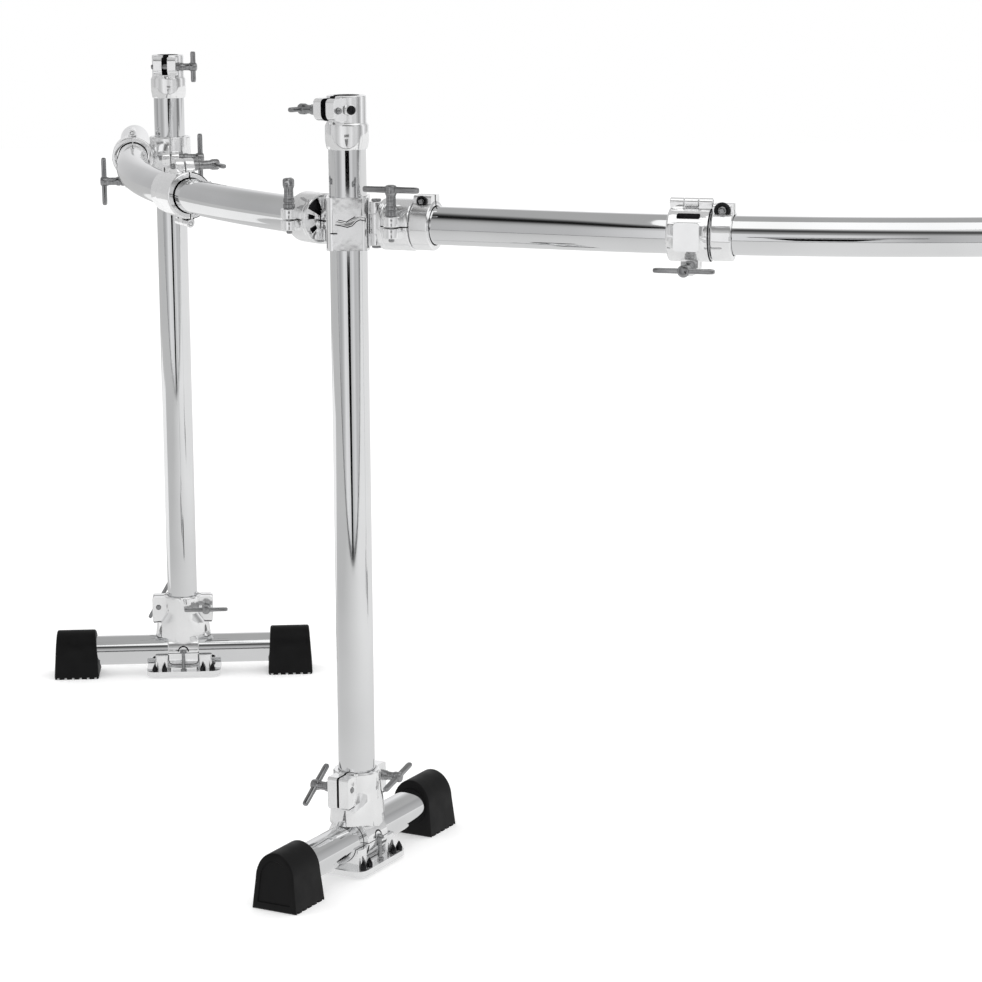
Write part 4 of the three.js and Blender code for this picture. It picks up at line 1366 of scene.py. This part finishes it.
# Painted reflections: black cards and a glowing soft box, seen only in the chrome.
black_reflection_card = glow("studio_black_reflection", 0.002)
box_reflection_glow = glow("studio_box_reflection", 1.15)
overhead = [(x, y, box_height) for x, y in box_outline]
front_x, front_y, front_turn = front_edge_place
front_axes = studio @ move(front_x, front_y, box_height + 0.02) @ turn(front_turn)
left_axes = studio @ move(0, 0, box_height + 0.01)
# Painted reflections: these cards are hidden from the camera, from diffuse light and from shadows, so they
# show only in the chrome.
mirrored_only = [
    card("studio_white_reflection", level(*white_reflection_patch), glow("studio_white_reflection", 0.95), studio),
    card("studio_gap_reflection", level(-paper_reach, paper_reach, -paper_front - gap_width, -paper_front), black_reflection_card,
         studio),
    card("studio_box_reflection", overhead, box_reflection_glow, studio),
    card("studio_left_edge", level(*left_edge), graded("left_edge", "X", left_edge_reflection_tones), left_axes),
    card("studio_front_edge", level(*front_edge), graded("front_edge", "Y", front_edge_reflection_tones), front_axes),
    card("studio_stand_low_reflection", [(x, -stand_distance, z) for x, z in stand_low], black_reflection_card, studio),
    card("studio_stand_top_reflection", [(x, -stand_distance, z) for x, z in stand_top], black_reflection_card, studio),
]
for piece in mirrored_only:
    piece.visible_camera = piece.visible_diffuse = False
    piece.visible_shadow = piece.visible_transmission = False


def lamp(name, place, aim, size, power):
    """A square soft box that looks at a point."""
    data = bpy.data.lights.new(name, "AREA")
    data.shape = "SQUARE"
    data.size = size
    data.energy = power
    light = linked(name, data)
    light.location = place
    light.rotation_euler = (Vector(aim) - Vector(place)).to_track_quat("-Z", "Y").to_euler()
    light.visible_glossy = False


middle = (solid_size[0] + solid_size[1]) / 2
lamp("overhead", (middle.x, middle.y, 3.4), middle, 2.6, 16)
lamp("left_box", (middle.x - 3.2, middle.y - 1.6, 1.8), middle, 1.6, 6)

# What the chrome sees round the horizon: a direction in degrees from straight in front, to the right,
# and how light the room is there. The room is a painted reflection: only glossy rays see it.
room = (
    (-179, 0.9), (-164, 0.6), (-145, 0.5), (-118, 0.46), (-104, 0.44), (-92, 0.3), (-72, 0.55),
    (-54, 0.4), (-40, 0.55), (-28, 0.82), (-6, 0.72), (4, 0.5), (26, 0.74), (38, 0.53),
    (56, 0.57), (68, 0.3), (77, 0.17), (86, 0.36),
    (98, 0.9), (112, 0.6), (128, 0.35), (145, 0.7), (165, 1.0),
)
ceiling = 0.44
wall_top = (0.34, 0.55)
# The colour sockets of a mix node.
mix_from, mix_to, mix_result = 6, 7, 2
world = bpy.data.worlds.new("studio")
world.use_nodes = True
bpy.context.scene.world = world
tree = world.node_tree
background = tree.nodes["Background"]
direction = tree.nodes.new("ShaderNodeTexCoord").outputs["Generated"]
round_room = tree.nodes.new("ShaderNodeTexGradient")
round_room.gradient_type = "RADIAL"
tree.links.new(direction, round_room.inputs["Vector"])
stops = sorted(((0.25 + degrees / 360) % 1, (grey, grey, grey * 1.01)) for degrees, grey in room)
walls = ramped(tree, round_room.outputs["Fac"], stops)
lift = ranged(tree, along_axis(tree, direction, "Z"), *wall_top)
above = tree.nodes.new("ShaderNodeMix")
above.data_type = "RGBA"
above.inputs[mix_to].default_value = (ceiling, ceiling, ceiling, 1)
tree.links.new(lift, above.inputs["Factor"])
tree.links.new(walls, above.inputs[mix_from])
# Glossy rays see the painted room; the camera and diffuse light see plain white.
rays = tree.nodes.new("ShaderNodeLightPath")
plain = tree.nodes.new("ShaderNodeMix")
plain.data_type = "RGBA"
plain.inputs[mix_from].default_value = (1, 1, 1, 1)
tree.links.new(rays.outputs["Is Glossy Ray"], plain.inputs["Factor"])
tree.links.new(above.outputs[mix_result], plain.inputs[mix_to])
tree.links.new(plain.outputs[mix_result], background.inputs["Color"])
background.inputs["Strength"].default_value = 1

bpy.context.scene.view_settings.view_transform = "Standard"
